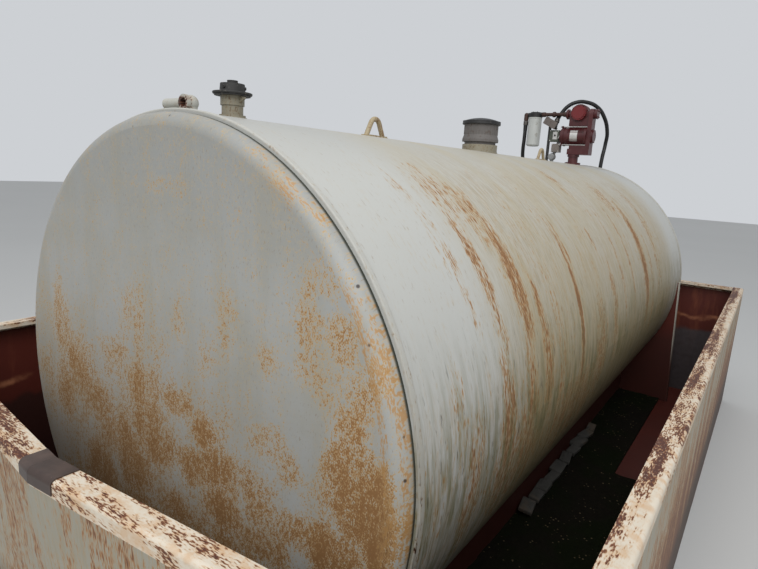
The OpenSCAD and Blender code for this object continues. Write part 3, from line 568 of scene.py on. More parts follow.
# Basin
# The basin is a floor plate and four walls of 5 mm plate, welded along their corners. It is oxide red
# inside and was painted pale outside. Water has stood in it, and rust runs down its outer faces.
basin_paint, shader, spot = new_finish("basin_walls", roughness=0.6)
height = spot.z
across = spot.x + spot.y
facing = spot.beside("Normal")
outside = part_of(facing.x * spot.x + facing.y * spot.y, -0.01, 0.01)
wander = grain(spot, 5.0, 5.0) * 0.14
tide = abs(height + wander - 0.67)
silt = part_of(height + wander, 0.6, 0.56)
mud = mottle(spot, (44, 46, 48), (84, 86, 88), 30.0, 6.0, 0.65)
mud = tint(spot.y > 2.0, (44, 22, 17), mud)
red = layered(
    mottle(spot, (74, 25, 16), (96, 35, 22), 3.0, 5.0),
    (runs(across, height, 12.0, 5.0, 0.5, 0.7, 1.0) * 0.4, (140, 78, 50)),
    (part_of(tide, 0.022, 0.0) * flecks(spot, 0.35, 0.7, 9.0), (168, 108, 76)),
    (silt * 0.8, mud))
low_down = part_of(height, 0.78, 0.34) * (abs(spot.x) > 1.185)
bands = runs(across, height, 7.0, 9.0, 0.4, 0.58, 6.0)
stain, rust, core = rusted(across, height, bands * 0.4 + 0.15 + low_down * 0.56, 7.0, 15.0)
pale = layered(
    mottle(spot, (148, 144, 130), (166, 161, 146), 2.0),
    (runs(across, height, 60.0, 12.0, 0.46, 0.64, 9.0) * 0.4, (150, 138, 112)),
    (stain * 0.55, (176, 138, 88)),
    (rust * 0.85, (154, 106, 58)),
    (core * 0.85, (98, 58, 36)),
    # Painted shade: the foot of each outer face is darkened to dark brown, standing in for the shadow along the basin's
    # foot
    (part_of(height + wander, 0.46, 0.24) * 0.92, (56, 38, 29)))
lay_on(shader, tint(outside, red, pale), grain(spot, 40.0) - rust * 0.6, 0.25, 0.002)
repaint(basin_paint, "front_wall", "back_wall", "left_wall", "right_wall")

# The floor's rear right corner is swept clean; moss and litter lie on the rest
clean_x, clean_y = 0.815, 0.412
floor_paint, shader, spot = new_finish("wet_basin_floor", roughness=0.55)
swept = (spot.x > clean_x) * (spot.y > clean_y)
red = mottle(spot, (74, 26, 16), (98, 36, 22), 5.0, 5.0)
mud = tint(flecks(spot, 0.35, 0.65, 14.0, 6.0, 0.65), (18, 16, 12), (36, 32, 26))
lay_on(shader, tint(swept, mud, red), grain(spot, 60.0, 6.0), 0.4, 0.003)
repaint(floor_paint, "basin_floor")

litter_finish, shader, spot = new_finish("damp_moss_and_litter_in_painted_shade", roughness=0.9)
shader.inputs["Specular IOR Level"].default_value = 0.1
# The moss and litter colours are partly their own damp dark colour and partly painted shade: they are made far darker,
# standing in for the tank's shade over them
moss = flecks(spot, 0.42, 0.6, 3.0, 5.0)
ground = mottle(spot, (9, 8, 6), (36, 32, 24), 50.0, 6.0, 0.7)
green = mottle(spot, (8, 11, 5), (28, 34, 14), 90.0, 6.0, 0.7)
colour = tint(moss, ground, green)
leaves = put(spot.tree, "TexVoronoi", {"Vector": spot, "Scale": 42.0}, "Distance", feature="F1")
bits = part_of(leaves, 0.2, 0.12) * flecks(spot, 0.46, 0.58, 11.0, 3.0)
colour = tint(bits * 0.9, colour, (120, 106, 82))
lay_on(shader, colour, grain(spot, 70.0, 6.0, 0.7) + bits, 0.9, 0.006)

litter_width, litter_length, litter_middle = 2.374, 4.130, 0.0595
pick()
bpy.ops.mesh.primitive_grid_add(x_subdivisions=96, y_subdivisions=166, size=1.0, location=(0, 0, 0))
litter = bpy.context.object
bpy.ops.object.mode_set(mode="EDIT")
mesh = bmesh.from_edit_mesh(litter.data)
for vertex in mesh.verts:
    vertex.co.x *= litter_width
    vertex.co.y = litter_middle + vertex.co.y * litter_length
    place = vertex.co.copy()
    heap = 0.5 + 0.5 * noise.fractal(place * 1.7, 0.9, 2.1, 4)
    rough = noise.fractal(place * 13.0, 0.8, 2.0, 3)
    vertex.co.z = 0.012 + max(0.0, min(0.034, 0.020 * heap + 0.007 * rough))
bpy.ops.mesh.select_all(action="DESELECT")
for face in mesh.faces:
    middle = face.calc_center_median()
    face.select = middle.x > clean_x - 0.01 and middle.y > clean_y - 0.01
bmesh.update_edit_mesh(litter.data)
bpy.ops.mesh.delete(type="FACE")
bpy.ops.mesh.select_all(action="SELECT")
bpy.ops.mesh.extrude_region_move(TRANSFORM_OT_translate={"value": (0, 0, 0)})
mesh = bmesh.from_edit_mesh(litter.data)
for vertex in mesh.verts:
    if vertex.select:
        vertex.co.z = 0.0064
bpy.ops.mesh.select_all(action="SELECT")
bpy.ops.mesh.normals_make_consistent(inside=False)
bpy.ops.object.mode_set(mode="OBJECT")
settle(litter, "floor_litter", litter_finish, smooth=60)


def block(size, edge, panel=0.0, sink=0.0):
    """A block with bevelled edges; its top face may carry a sunk or raised panel inset by the given margin."""
    pick()
    bpy.ops.mesh.primitive_cube_add(size=1.0, location=(0, 0, 0), scale=size)
    bpy.ops.object.transform_apply(location=False, rotation=False, scale=True)
    bpy.ops.object.mode_set(mode="EDIT")
    bpy.ops.mesh.select_all(action="SELECT")
    bpy.ops.mesh.bevel(offset=edge, segments=2, affect="EDGES")
    if panel:
        mesh = bmesh.from_edit_mesh(bpy.context.object.data)
        bpy.ops.mesh.select_all(action="DESELECT")
        max(mesh.faces, key=lambda face: face.calc_center_median().z).select = True
        bmesh.update_edit_mesh(bpy.context.object.data)
        bpy.ops.mesh.inset(thickness=panel, depth=0.0)
        bpy.ops.mesh.inset(thickness=abs(sink), depth=sink)
    bpy.ops.object.mode_set(mode="OBJECT")
    return bpy.context.object


def join(pieces):
    """Makes several pieces one."""
    pick(*pieces)
    bpy.ops.object.join()
    return bpy.context.object


# Flat broken pieces of concrete lie in a row along the right skid
slab_stone, shader, spot = new_finish("broken_grey_slabs", roughness=0.85)
# Painted shade: the slabs' grey is made darker than the concrete's own, standing in for the shade under the tank
colour = mottle(spot, (52, 51, 48), (92, 90, 85), 24.0, 6.0, 0.65)
colour = tint(flecks(spot, 0.5, 0.65, 9.0, 4.0) * 0.5, colour, (104, 88, 70))
lay_on(shader, colour, grain(spot, 130.0, 6.0), 0.5, 0.003)
slab_row_x, slab_row_z = 0.576, 0.050
random.seed(11)
noise.seed_set(11)
slabs = []
for slab_y, long, wide in (
        (-0.26, 0.10, 0.062), (-0.14, 0.09, 0.055), (-0.04, 0.10, 0.060), (0.07, 0.12, 0.050), (0.20, 0.12, 0.062),
        (0.33, 0.11, 0.055), (0.45, 0.11, 0.050), (0.57, 0.13, 0.060), (0.70, 0.12, 0.055), (0.82, 0.10, 0.050)):
    slab = block((wide, long, 0.020), 0.004)
    for vertex in slab.data.vertices:
        vertex.co += 0.12 * wide * noise.noise_vector(vertex.co * 18.0 + Vector((slab_y * 9, 0, 0)))
    slab_place = Matrix.Translation((slab_row_x + random.uniform(-0.003, 0.008), slab_y, slab_row_z))
    lean = Matrix.Rotation(random.uniform(0.05, 0.18), 4, "Y")
    slab.matrix_world = slab_place @ lean @ Matrix.Rotation(random.uniform(-0.14, 0.14), 4, "Z")
    slabs.append(slab)
settle(join(slabs), "broken_slabs", slab_stone, smooth=25)

# Welds in the basin's four upright corners and along the foot of its walls
inner_x, inner_front, inner_back = 1.189, -2.007, 2.126
welds = []
for side in (-1, 1):
    for end_y, toward in ((inner_front, 1), (inner_back, -1)):
        upright = [(side * (inner_x - 0.001), end_y + toward * 0.001, 0.006 + 0.02 * k) for k in range(41)]
        welds.append(weld_run(upright, 0.0034, 0.0007))
    foot = [(side * (inner_x - 0.001), -1.99 + 0.03 * k, 0.0072) for k in range(137)]
    welds.append(weld_run(foot, 0.0036, 0.0007))
settle(join(welds), "basin_welds", basin_paint)

# Basin rim
# Each wall's top edge is stiffened by a folded channel. Its cream paint has flaked off over brown rust.
# A dark sheet cover is folded over the bend in the middle of the front rim.
rim_paint, shader, spot = new_finish("flaking_rim", roughness=0.7)
off_side = abs(spot.x)
on_side = off_side > 1.13
on_end = 1.0 - on_side
across = spot.x * on_side + spot.y * on_end + spot.z * 0.8
along = spot.y * on_side + spot.x * on_end
drawn = place_of(across, along / 7.0, 4.0)
rim_top = part_of(spot.z, 0.846, 0.862)
cream = mottle(spot, (200, 188, 168), (224, 214, 198), 9.0, 4.0)
cream = tint(flecks(spot, 0.45, 0.65, 22.0, 4.0) * 0.5, cream, (196, 150, 98))
edge_in = part_of(off_side, 1.184, 1.160) * on_side * 0.9 + 0.1
left_front = part_of(spot.x, 0.05, -0.1) * (spot.y < -1.95) * 0.2
amount = flecks(drawn, 0.36, 0.64, 6.0, 2.0) * 0.36 + 0.12 + edge_in * rim_top * 0.42
amount = amount + flecks(drawn, 0.36, 0.64, 30.0, 2.0) * 0.42 - 0.34 + left_front
stain, rust, core = rusted(across, along, amount, 4.0, 31.0)
brown = mottle(spot, (92, 52, 32), (144, 92, 56), 60.0, 5.0, 0.7)
salt = flecks(spot, 0.62, 0.68, 210.0, 3.0) * rust
colour = layered(
    cream,
    (stain * 0.6, (192, 144, 88)),
    (rust, brown),
    (core, (82, 46, 34)),
    (salt * 0.8, (206, 186, 160)))
lay_on(shader, colour, grain(spot, 120.0) * 0.4 - rust, 0.5, 0.0015)
repaint(rim_paint, "front_rim", "back_rim", "left_rim", "right_rim")

patch_metal, shader, spot = new_finish("dark_cover_sheet", roughness=0.42)
colour = tint(flecks(spot, 0.4, 0.7, 12.0, 6.0), (60, 46, 40), (84, 66, 58))
colour = tint(flecks(spot, 0.66, 0.72, 60.0, 4.0), colour, (140, 108, 90))
lay_on(shader, colour, grain(spot, 30.0), 0.25, 0.002)
repaint(patch_metal, "rim_patch")

joint_x, rim_top_z = 1.135, 0.8638
welds = []
for side in (-1, 1):
    for start_y, end_y in ((-2.013, -1.955), (2.074, 2.130)):
        joint = [(side * joint_x, start_y + (end_y - start_y) * k / 12, rim_top_z) for k in range(13)]
        welds.append(weld_run(joint, 0.0026, 0.0006))
settle(join(welds), "rim_joint_welds", rim_paint)

# Skids and saddles
# Two channels lie under the tank, and a plate saddle stands on them at each end. All are oxide red
# steel, dark with old water below, with pale flat bars welded to the rear saddle's edges.
saddle_paint, shader, spot = new_finish("oxide_red_steel", roughness=0.6)
colour = mottle(spot, (76, 27, 17), (102, 38, 24), 6.0, 5.0)
wet = part_of(spot.z + grain(spot, 4.0) * 0.08, 0.6, 0.5)
colour = tint(wet * 0.5, colour, (52, 32, 26))
slope_x = 0.8617 - spot.z * 0.04955
bar = abs(spot.x) > slope_x
bar_pale = mottle(spot, (168, 162, 148), (196, 192, 180), 40.0, 5.0)
bar_pale = tint(part_of(spot.z, 0.5, 0.25), bar_pale, (84, 50, 40))
colour = tint(bar, colour, bar_pale)
lay_on(shader, colour, grain(spot, 50.0), 0.25, 0.002)
repaint(saddle_paint, "left_skid", "right_skid", "front_saddle", "rear_saddle")

saddle_y = seam_y + 3.48
seat_radius = tank_radius + 0.0012
welds = []
for face_y in (saddle_y - 0.0005, saddle_y + 0.0085):
    seat = []
    for k in range(93):
        swing = math.radians(88 + 2 * k)
        seat.append((seat_radius * math.sin(swing), face_y, axis_z + seat_radius * math.cos(swing)))
    welds.append(weld_run(seat, 0.0034, 0.0006))
settle(join(welds), "rear_saddle_weld", saddle_paint)

# Front fittings
# An elbow with an open mouth stands just behind the front lip, with a pipe running left from it, and a
# capped vent stands behind it. Both are welded to the crown and painted with the tank; the cap is cast.
vent_y = seam_y + 0.197
vent_cap_z = crown_z + 0.060


def repeat(piece, places):
    """Copies a piece to each place, each copy with its own mesh, and joins them."""
    copies = []
    for matrix in places:
        copy = bpy.data.objects.new(piece.name, piece.data.copy())
        bpy.context.scene.collection.objects.link(copy)
        copy.matrix_world = matrix
        copies.append(copy)
    bpy.data.objects.remove(piece)
    return join(copies)


def ring_of(count, start=0.0):
    """Angles spaced evenly round a circle from start in degrees, each with its cosine and sine."""
    angles = [math.radians(360 / count * k + start) for k in range(count)]
    return [(a, math.cos(a), math.sin(a)) for a in angles]


def bead_round(centre_y, radius, rise, dip, count):
    """Points of a closed bead round an upright neck on the crown, dipping with the shell at its sides."""
    angles = ring_of(count)
    return [(radius * c, centre_y + radius * s, crown_z + rise - dip * c ** 2) for a, c, s in angles + angles[:1]]


def coat(name, dark, pale, clouds, skin, marks=None, **gloss):
    """A coat that wanders between two colours, with flecks of a third, on a skin raised by fine grain."""
    material, shader, spot = new_finish(name, **gloss)
    colour = mottle(spot, dark, pale, *clouds)
    if marks:
        shade, share, *shape = marks
        colour = tint(flecks(spot, *shape) * share, colour, shade)
    per_metre, strength = skin
    lay_on(shader, colour, grain(spot, per_metre), strength, 0.001)
    return material


fitting_paint, shader, spot = new_finish("painted_fittings", roughness=0.55)
stain, rust, core = rusted(spot.x + spot.y, spot.z, 0.24, 2.0, 41.0)
colour = layered(
    mottle(spot, (120, 114, 98), (152, 146, 128), 12.0, 5.0),
    (stain * 0.5, (142, 122, 88)),
    (rust * 0.8, (96, 76, 52)),
    (core, (52, 36, 28)))
lay_on(shader, colour, grain(spot, 150.0) - rust, 0.35, 0.001)
repaint(fitting_paint, "small_vent_neck", "emergency_vent_collar")

# The elbow's open mouth is the rustiest
mouth = (0.018, seam_y + 0.022, crown_z + 0.014)
stub_paint, shader, spot = new_finish("white_stub_paint", roughness=0.55)
from_mouth = put(spot.tree, "VectorMath", {0: spot, 1: mouth}, "Value", operation="DISTANCE")
amount = part_of(from_mouth, 0.036, 0.012) * 0.62 + 0.14
stain, rust, core = rusted(spot.x, spot.z, amount, 1.5, 47.0)
colour = layered(
    mottle(spot, (162, 161, 152), (184, 183, 175), 14.0, 5.0),
    (stain * 0.5, (160, 132, 96)),
    (rust, (96, 56, 38)),
    (core, (52, 32, 26)))
lay_on(shader, colour, grain(spot, 150.0) - rust, 0.35, 0.001)
repaint(stub_paint, "pipe_stub")

dark_cast = coat("dark_cast_vents", (36, 36, 35), (60, 59, 57), (14.0, 6.0, 0.65), (180.0, 0.3),
                 ((120, 112, 102), 0.5, 0.58, 0.7, 60.0, 5.0), roughness=0.6, metallic=0.1)
repaint(dark_cast, "small_vent_cap")

bead = bead_round(vent_y, 0.0385, 0.0, 0.0009, 30)
settle(weld_run(bead, 0.0032, 0.0006), "small_vent_weld", fitting_paint)
hexagon = turned(0.0125, [(0.010, 0.0125), (0.0025, 0.0105)], sides=6)
settle(hexagon, "small_vent_cap_nut", dark_cast, smooth=20, stand=at((0, vent_y, vent_cap_z + 0.0295)))
screw = turned(0.0045, [(0.004, 0.0045), (0.0008, 0.0036), (0.0, 0.0018), (-0.0022, 0.0018)], sides=12)
screws = [at((0.0335 * c, vent_y + 0.0335 * s, vent_cap_z + 0.022), (c, s, 0)) for a, c, s in ring_of(3, -80)]
settle(repeat(screw, screws), "small_vent_set_screws", dark_cast)
brim = turned(0.0545, [(0.0004, 0.0552), (0.0018, 0.0556), (0.0016, 0.0552), (0.0006, 0.0545), (0.0, 0.0500),
                       (-0.0009, 0.0495)], sides=64)
settle(brim, "small_vent_brim_bead", dark_cast, stand=at((0, vent_y, vent_cap_z + 0.0054)))

# Emergency vent
# A cast pot stands on a painted collar, with fine upright ribs. Its loose lid lifts on a stem when the
# tank's pressure rises, and falls back by its own weight.
relief_y = seam_y + 1.795
pot_radius = 0.0852
vent_body_metal = coat("weathered_vent_body", (90, 86, 84), (114, 109, 105), (12.0, 5.0, 0.6), (150.0, 0.3),
                       ((80, 62, 48), 0.5, 0.55, 0.68, 50.0, 5.0), roughness=0.65)
repaint(vent_body_metal, "emergency_vent_body")
lid_metal = coat("black_vent_lid", (24, 24, 25), (42, 41, 41), (18.0, 5.0, 0.6), (200.0, 0.3),
                 ((104, 98, 90), 0.4, 0.58, 0.7, 70.0, 5.0), roughness=0.5)
repaint(lid_metal, "emergency_vent_lid", "emergency_vent_stem")

rib = block((0.0026, 0.0036, 0.046), 0.0010)
ribs = [Matrix.Translation((pot_radius * c, relief_y + pot_radius * s, crown_z + 0.107)) @ Matrix.Rotation(a, 4, "Z")
        for a, c, s in ring_of(36)]
settle(repeat(rib, ribs), "emergency_vent_ribs", vent_body_metal)
nut = turned(0.0075, [(0.0052, 0.0075), (0.0014, 0.0062)], sides=6)
settle(nut, "emergency_vent_guide_nut", dark_cast, smooth=20, stand=at((0, relief_y, crown_z + 0.1125)))
brim = turned(0.0962, [(0.0008, 0.0968), (0.0016, 0.0972), (0.0016, 0.0968), (0.0008, 0.0962), (0.0, 0.0940),
                       (-0.0010, 0.0936)], sides=72)
settle(brim, "emergency_vent_lid_bead", lid_metal, "vent_lid", stand=at((0, relief_y, crown_z + 0.1362)))
bead = bead_round(relief_y, 0.0895, 0.0015, 0.0045, 40)
settle(weld_run(bead, 0.0036, 0.0007), "emergency_vent_weld", fitting_paint)

# Lifting lugs
# Each is a hairpin of round bar on a foot plate, welded to the crown, with tan weathered paint.
foot_x, foot_y = 0.0165, 0.0655
lug_paint, shader, spot = new_finish("tan_lug_paint", roughness=0.6)
stain, rust, core = rusted(spot.x + spot.y, spot.z, 0.32, 2.0, 51.0)
colour = layered(
    mottle(spot, (152, 136, 104), (184, 172, 144), 20.0, 5.0),
    (stain * 0.5, (156, 124, 84)),
    (rust * 0.8, (108, 70, 44)))
lay_on(shader, colour, grain(spot, 200.0), 0.3, 0.001)
repaint(lug_paint, "front_lifting_lug", "rear_lifting_lug")
for end, lug_y in (("front", seam_y + 0.880), ("rear", seam_y + 2.700)):
    corners = [(foot_x, -foot_y), (foot_x, foot_y), (-foot_x, foot_y), (-foot_x, -foot_y), (foot_x, -foot_y)]
    bead = []
    for (x0, y0), (x1, y1) in zip(corners[:-1], corners[1:]):
        steps = 5 if abs(x1 - x0) > 0.001 else 16
        bead += [(x0 + (x1 - x0) * k / steps, lug_y + y0 + (y1 - y0) * k / steps, crown_z + 0.0012)
                 for k in range(steps)]
    settle(weld_run(bead, 0.0028, 0.0006), "lug_weld_" + end, lug_paint)

# Pump
# A cast pump head stands over its electric motor on one casting, bolted to a flanged pedestal.
# It is dark red enamel over cast iron, dulled by weather. Bolts hold its covers and flanges.
motor_z = 205
head_x, head_z = 14, 367
pipe_z = 362
pump_paint, shader, spot = new_finish("dark_red_enamel", roughness=0.42, coat=0.15)
colour = layered(
    mottle(spot, (60, 14, 16), (82, 21, 23), 9.0, 5.0),
    (flecks(spot, 0.6, 0.7, 50.0, 5.0) * 0.5, (60, 26, 24)),
    (flecks(spot, 0.5, 0.7, 26.0, 5.0) * 0.3, (100, 60, 58)))
lay_on(shader, colour, grain(spot, 220.0), 0.25, 0.001)
repaint(pump_paint, "pump_pedestal", "pump_casing", "pump_motor", "pump_head")
cover_paint = coat("bright_red_cover", (96, 13, 17), (118, 22, 24), (14.0, 5.0), (220.0, 0.2),
                   ((84, 30, 28), 0.4, 0.6, 0.7, 60.0, 5.0), roughness=0.38, coat=0.2)
repaint(cover_paint, "pump_cover")
bright = coat("bright_steel", (182, 178, 174), (222, 219, 215), (80.0,), (300.0, 0.15), roughness=0.35, metallic=0.85)
repaint(bright, "motor_tie_rods")

cover_circle, head_circle, flange_circle, port_circle, rod_circle = 46.5, 57.5, 46, 29, 74
bolts = [at(by_pump(head_x + cover_circle * c, -52, head_z + cover_circle * s), (0, -1, 0), a)
         for a, c, s in ring_of(6, 30)]
bolt = turned(0.0042, [(0.0030, 0.0042), (0.0008, 0.0034)], sides=6)
settle(repeat(bolt, bolts), "pump_cover_bolts", cover_paint, smooth=20)
bolts = [at(by_pump(head_x + head_circle * c, -24, head_z + head_circle * s), (0, -1, 0), a)
         for a, c, s in ring_of(8, 22.5)]
bolts += [at(by_pump(126, flange_circle * c, motor_z + flange_circle * s), (1, 0, 0), a) for a, c, s in ring_of(6)]
for a, c, s in ring_of(4, 45):
    bolts.append(at(by_pump(142, port_circle * c, pipe_z + port_circle * s), (1, 0, 0), a))
    bolts.append(at(by_pump(-78, port_circle * c, pipe_z + port_circle * s), (-1, 0, 0), a))
    bolts.append(at(by_pump(flange_circle * c, flange_circle * s, 11), (0, 0, 1), a))
bolt = turned(0.0062, [(0.0008, 0.0062), (0.0, 0.0052), (0.0040, 0.0052), (0.0010, 0.0042)], sides=6)
settle(repeat(bolt, bolts), "pump_flange_bolts", pump_paint, smooth=20)

nuts = [at(by_pump(-95, rod_circle * math.cos(a), motor_z + rod_circle * math.sin(a)), (-1, 0, 0), a)
        for a in (math.radians(degrees) for degrees in (60, 120, 240, 300))]
nut = turned(0.0066, [(0.0052, 0.0066), (0.0012, 0.0054), (0.0, 0.0034), (0.0040, 0.0034), (0.0005, 0.0028)], sides=6)
settle(repeat(nut, nuts), "tie_rod_nuts", bright, smooth=20)

# The motor's cooling fins run along it all round, but for the strip where its plate lies
fin = block((0.118, 0.0026, 0.0046), 0.0009)
motor_skin = 62.2
fin_circle = motor_skin + 0.4
fins = [Matrix.Translation(by_pump(9, fin_circle * c, motor_z + fin_circle * s))
        @ Matrix.Rotation(a - math.pi / 2, 4, "X")
        for a, c, s in ring_of(40, 4.5) if not 158 < math.degrees(a) < 202]
settle(repeat(fin, fins), "motor_fins", pump_paint)

plate_metal, shader, spot = new_finish("bare_pale_plate", roughness=0.4, metallic=0.4)
lay_on(shader, mottle(spot, (186, 184, 180), (214, 212, 208), 60.0, 5.0), grain(spot, 240.0), 0.15, 0.0005)
pick()
bpy.ops.mesh.primitive_grid_add(x_subdivisions=2, y_subdivisions=14, size=1.0, location=(0, 0, 0))
plate = bpy.context.object
for vertex in plate.data.vertices:
    swing = math.radians(180 + 43 * vertex.co.y * 1.72)
    vertex.co = by_pump(54 * vertex.co.x, motor_skin * math.cos(swing), motor_z - motor_skin * math.sin(swing))
bpy.ops.object.mode_set(mode="EDIT")
bpy.ops.mesh.select_all(action="SELECT")
bpy.ops.mesh.normals_make_consistent(inside=False)
bpy.ops.object.mode_set(mode="OBJECT")
wall = plate.modifiers.new("sheet", "SOLIDIFY")
wall.thickness = 0.0012
wall.offset = 0.0
bpy.ops.object.modifier_apply(modifier="sheet")
settle(plate, "motor_plate", plate_metal)

pipe_rust = coat("dark_rusty_pipe", (48, 30, 26), (82, 56, 47), (30.0, 6.0), (160.0, 0.3),
                 ((44, 26, 22), 0.6, 0.56, 0.66, 80.0, 4.0), roughness=0.6, metallic=0.2)
repaint(pipe_rust, "outlet_pipe", "hose_elbow")
post_black = coat("black_post", (24, 24, 24), (52, 48, 44), (30.0, 6.0), (160.0, 0.3), roughness=0.5)
repaint(post_black, "nozzle_post")

collar = turned(0.0160, [(0.003, 0.0178), (0.022, 0.0178), (0.003, 0.0160)], sides=28)
settle(repeat(collar, [at(by_pump(x, 0, pipe_z), (1, 0, 0)) for x in (-272, -110)]), "outlet_pipe_couplings", pipe_rust)
union = turned(0.0188, [(0.004, 0.0205), (0.014, 0.0205), (0.004, 0.0188)], sides=8)
settle(union, "outlet_pipe_union", pipe_rust, smooth=20, stand=at(by_pump(-190, 0, pipe_z), (1, 0, 0)))
plug = turned(0.0075, [(0.009, 0.0075), (0.0015, 0.0062)], sides=6)
settle(plug, "pump_priming_plug", bright, smooth=20, stand=at(by_pump(-34, -24, 409), (0, -1, 0.25)))

# Filter
# A spin-on canister with pale grey enamel hangs from a black cast head. Its top is rolled over a seam
# ring, and four cast ribs stand on the head.
filter_x, canister_top, canister_foot = -323, 342, 128
black_cast = coat("black_cast_head", (12, 12, 12), (30, 28, 27), (40.0,), (240.0, 0.3), roughness=0.5)
repaint(black_cast, "filter_head")
canister_paint = coat("pale_canister", (172, 174, 170), (196, 198, 194), (10.0, 4.0), (90.0, 0.1),
                      ((130, 122, 106), 0.5, 0.58, 0.68, 36.0, 6.0), roughness=0.4, coat=0.2)
repaint(canister_paint, "filter_canister")
seam_ring = turned(0.0490, [(0.001, 0.0503), (0.004, 0.0503), (0.001, 0.0494), (0.002, 0.0494), (0.001, 0.0500),
                            (0.002, 0.0500), (0.001, 0.0490)], sides=64)
settle(seam_ring, "filter_seam_ring", canister_paint, stand=at(by_pump(filter_x, 0, canister_top - 12)))
dimple = turned(0.0410, [(-0.0004, 0.0398), (0.0, 0.0290), (0.0030, 0.0262), (0.0, 0.0180)], sides=48)
settle(dimple, "filter_base_dimple", canister_paint, stand=at(by_pump(filter_x, 0, canister_foot)))
rib = block((0.030, 0.005, 0.012), 0.0015)
ribs = [Matrix.Translation(by_pump(filter_x + 30 * c, 30 * s, canister_top + 30)) @ Matrix.Rotation(a, 4, "Z")
        @ Matrix.Rotation(math.radians(38), 4, "Y") for a, c, s in ring_of(4, 45)]
settle(repeat(rib, ribs), "filter_head_ribs", black_cast)

# Nozzle, holster and boxes
# The nozzle rests in a folded sheet holster on a post, with its lever under a bent guard. The switch box
# is fastened to the post, and a junction box stands on a round conduit fitting beside it.
holster_paint = coat("brown_grey_sheet", (84, 76, 72), (118, 108, 102), (25.0, 6.0), (120.0, 0.3),
                     ((64, 46, 38), 0.5, 0.56, 0.66, 70.0, 4.0), roughness=0.6)
repaint(holster_paint, "nozzle_boot")
nozzle_cast = coat("dark_nozzle_casting", (44, 43, 43), (78, 74, 72), (50.0, 5.0), (180.0, 0.3), roughness=0.45,
                   metallic=0.3)
repaint(nozzle_cast, "nozzle")
holster_tilt = math.radians(27)
down_holster = Vector((math.cos(holster_tilt), 0, -math.sin(holster_tilt)))
out_of_holster = Vector((math.sin(holster_tilt), 0, math.cos(holster_tilt)))


def in_holster(x, y, z):
    """A point given in the holster's own frame, in millimetres: down its length, rearwards and out of it."""
    return by_pump(-183, -26 + y, 297) + (x * down_holster + z * out_of_holster) / 1000


guard = [in_holster(x, 8, z) for x, z in ((-30, 6), (-28, 14), (-20, 19), (-4, 21), (12, 19), (24, 13), (30, 4))]
round_guard = [start.lerp(end, k / 4) for start, end in zip(guard[:-1], guard[1:]) for k in range(4)] + guard[-1:]
settle(strand(round_guard, [0.0036] * len(round_guard), sides=4), "nozzle_guard", nozzle_cast)
lever = [in_holster(x, 8, z) for x, z in ((-26, 5), (-18, 10), (-4, 12.5), (10, 11), (20, 6))]
settle(strand(lever, [0.0028, 0.0034, 0.0036, 0.0034, 0.0026]), "nozzle_lever", bright)
ring = turned(0.0156, [(0.002, 0.0166), (0.006, 0.0166), (0.002, 0.0156)], sides=12)
settle(ring, "nozzle_collar", nozzle_cast, smooth=20, stand=at(in_holster(26, 8, -8.7), down_holster))

box_marks = (0.5, 0.56, 0.66, 70.0, 4.0)
box_paint = coat("grey_green_box", (58, 64, 54), (88, 92, 80), (25.0, 6.0), (120.0, 0.3), ((60, 48, 38), *box_marks),
                 roughness=0.55)
repaint(box_paint, "switch_box")
drab_paint = coat("grey_brown_box", (98, 90, 84), (132, 124, 116), (25.0, 6.0), (120.0, 0.3),
                  ((80, 58, 46), *box_marks), roughness=0.6)
repaint(drab_paint, "junction_box")
conduit_metal = coat("dull_cast_conduit", (128, 130, 130), (166, 166, 164), (40.0, 5.0), (160.0, 0.3),
                     ((104, 92, 76), 0.5, 0.5, 0.62, 20.0, 4.0), roughness=0.5, metallic=0.4)
repaint(conduit_metal, "conduit_box")

face = block((0.032, 0.056, 0.003), 0.001, panel=0.003, sink=-0.0008)
settle(face, "switch_box_plate", plate_metal, smooth=20, stand=at(by_pump(-146, -28.2, 207), (0, -1, 0)))
toggle = turned(0.0062, [(0.006, 0.0062), (0.001, 0.0050), (0.0, 0.0030), (0.010, 0.0026), (0.0008, 0.0018)], sides=20)
settle(toggle, "switch_toggle", nozzle_cast, stand=at(by_pump(-146, -29, 207), (0, -0.92, 0.38)))
lever = [by_pump(*p) for p in ((-120, -30, 186), (-118, -36, 188), (-112, -40, 196), (-104, -43, 212), (-100, -44, 221))]
settle(strand(lever, [0.0040, 0.0040, 0.0038, 0.0034, 0.0040], sides=4), "switch_lever", plate_metal)
screw = turned(0.0034, [(0.0012, 0.0034), (0.0007, 0.0022), (0.0, 0.0012), (-0.0008, 0.0010)], sides=12)
screws = [at(by_pump(x, -27, z), (0, -1, 0)) for x, z in ((-183, 169), (-183, 241), (-124, 241))]
screws += [at(by_pump(x, -26.6, z), (0, -1, 0)) for z in (92, 142) for x in (-159, -111)]
settle(repeat(screw, screws), "box_screws", bright)
lid = block((0.056, 0.058, 0.003), 0.0012, panel=0.005, sink=0.0006)
settle(lid, "junction_box_lid", drab_paint, smooth=20, stand=at(by_pump(-135, -25.2, 117), (0, -1, 0)))
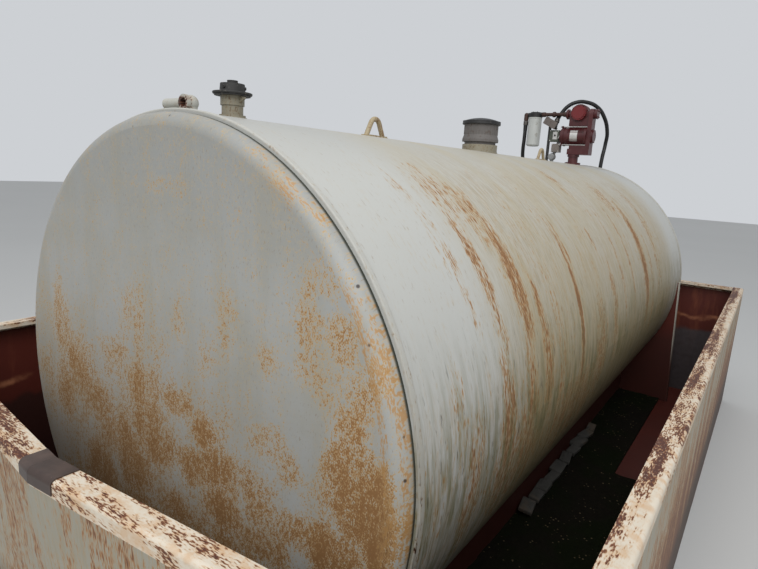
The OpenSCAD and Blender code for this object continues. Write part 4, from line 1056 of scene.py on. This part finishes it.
locknut = turned(0.0128, [(0.005, 0.0128), (0.001, 0.0116)], sides=6)
locknuts = [at(by_pump(x, 0, z)) for x, z in ((-124, 148), (-124, 157), (-144, 80))]
settle(repeat(locknut, locknuts), "conduit_locknuts", conduit_metal, smooth=20)
hub = turned(0.0215, [(0.003, 0.0225), (0.004, 0.0225), (0.0015, 0.0205), (0.0, 0.0130), (0.002, 0.0120)], sides=36)
settle(hub, "conduit_cover", conduit_metal, stand=at(by_pump(-160, -23.5, 52), (0, -1, 0)))

# Studio
# A plain pale floor and backdrop colour, one broad lamp above, and an even pale surrounding light.
pick()
bpy.ops.mesh.primitive_plane_add(size=60.0, location=(0, 0, -0.001))
floor = bpy.context.object
floor.name = "studio_floor"
floor_finish, shader, spot = new_finish("pale_floor", roughness=0.9)
mottle(spot, (196, 196, 194), (202, 202, 200), 0.3).to(shader.inputs["Base Color"])
floor.data.materials.append(floor_finish)

lamp_data = bpy.data.lights.new("broad_lamp", "AREA")
lamp_data.shape = "RECTANGLE"
lamp_data.size = 7.0
lamp_data.size_y = 8.0
lamp_data.energy = 400.0
lamp = bpy.data.objects.new("broad_lamp", lamp_data)
bpy.context.scene.collection.objects.link(lamp)
lamp.location = (2.2, -4.4, 6.4)
lamp.rotation_euler = (Vector((0, 0, 0.8)) - lamp.location).to_track_quat("-Z", "Y").to_euler()

world = bpy.data.worlds.new("studio")
bpy.context.scene.world = world
world.use_nodes = True
tree = world.node_tree
light = tree.nodes["Background"]
light.inputs["Color"].default_value = (0.93, 0.96, 1.0, 1.0)
light.inputs["Strength"].default_value = 0.60
backdrop = put(tree, "Background", {"Color": rgb((205, 208, 212)), "Strength": 1.0})
ray = put(tree, "LightPath", {}, "Is Camera Ray")
direct = ray.math("MAXIMUM", ray.beside("Is Glossy Ray").math("MAXIMUM", ray.beside("Is Transmission Ray")))
seen = put(tree, "MixShader", {0: direct, 1: Mask(light.outputs[0]), 2: backdrop})
seen.to(tree.nodes["World Output"].inputs["Surface"])
bpy.context.scene.view_settings.view_transform = "Standard"
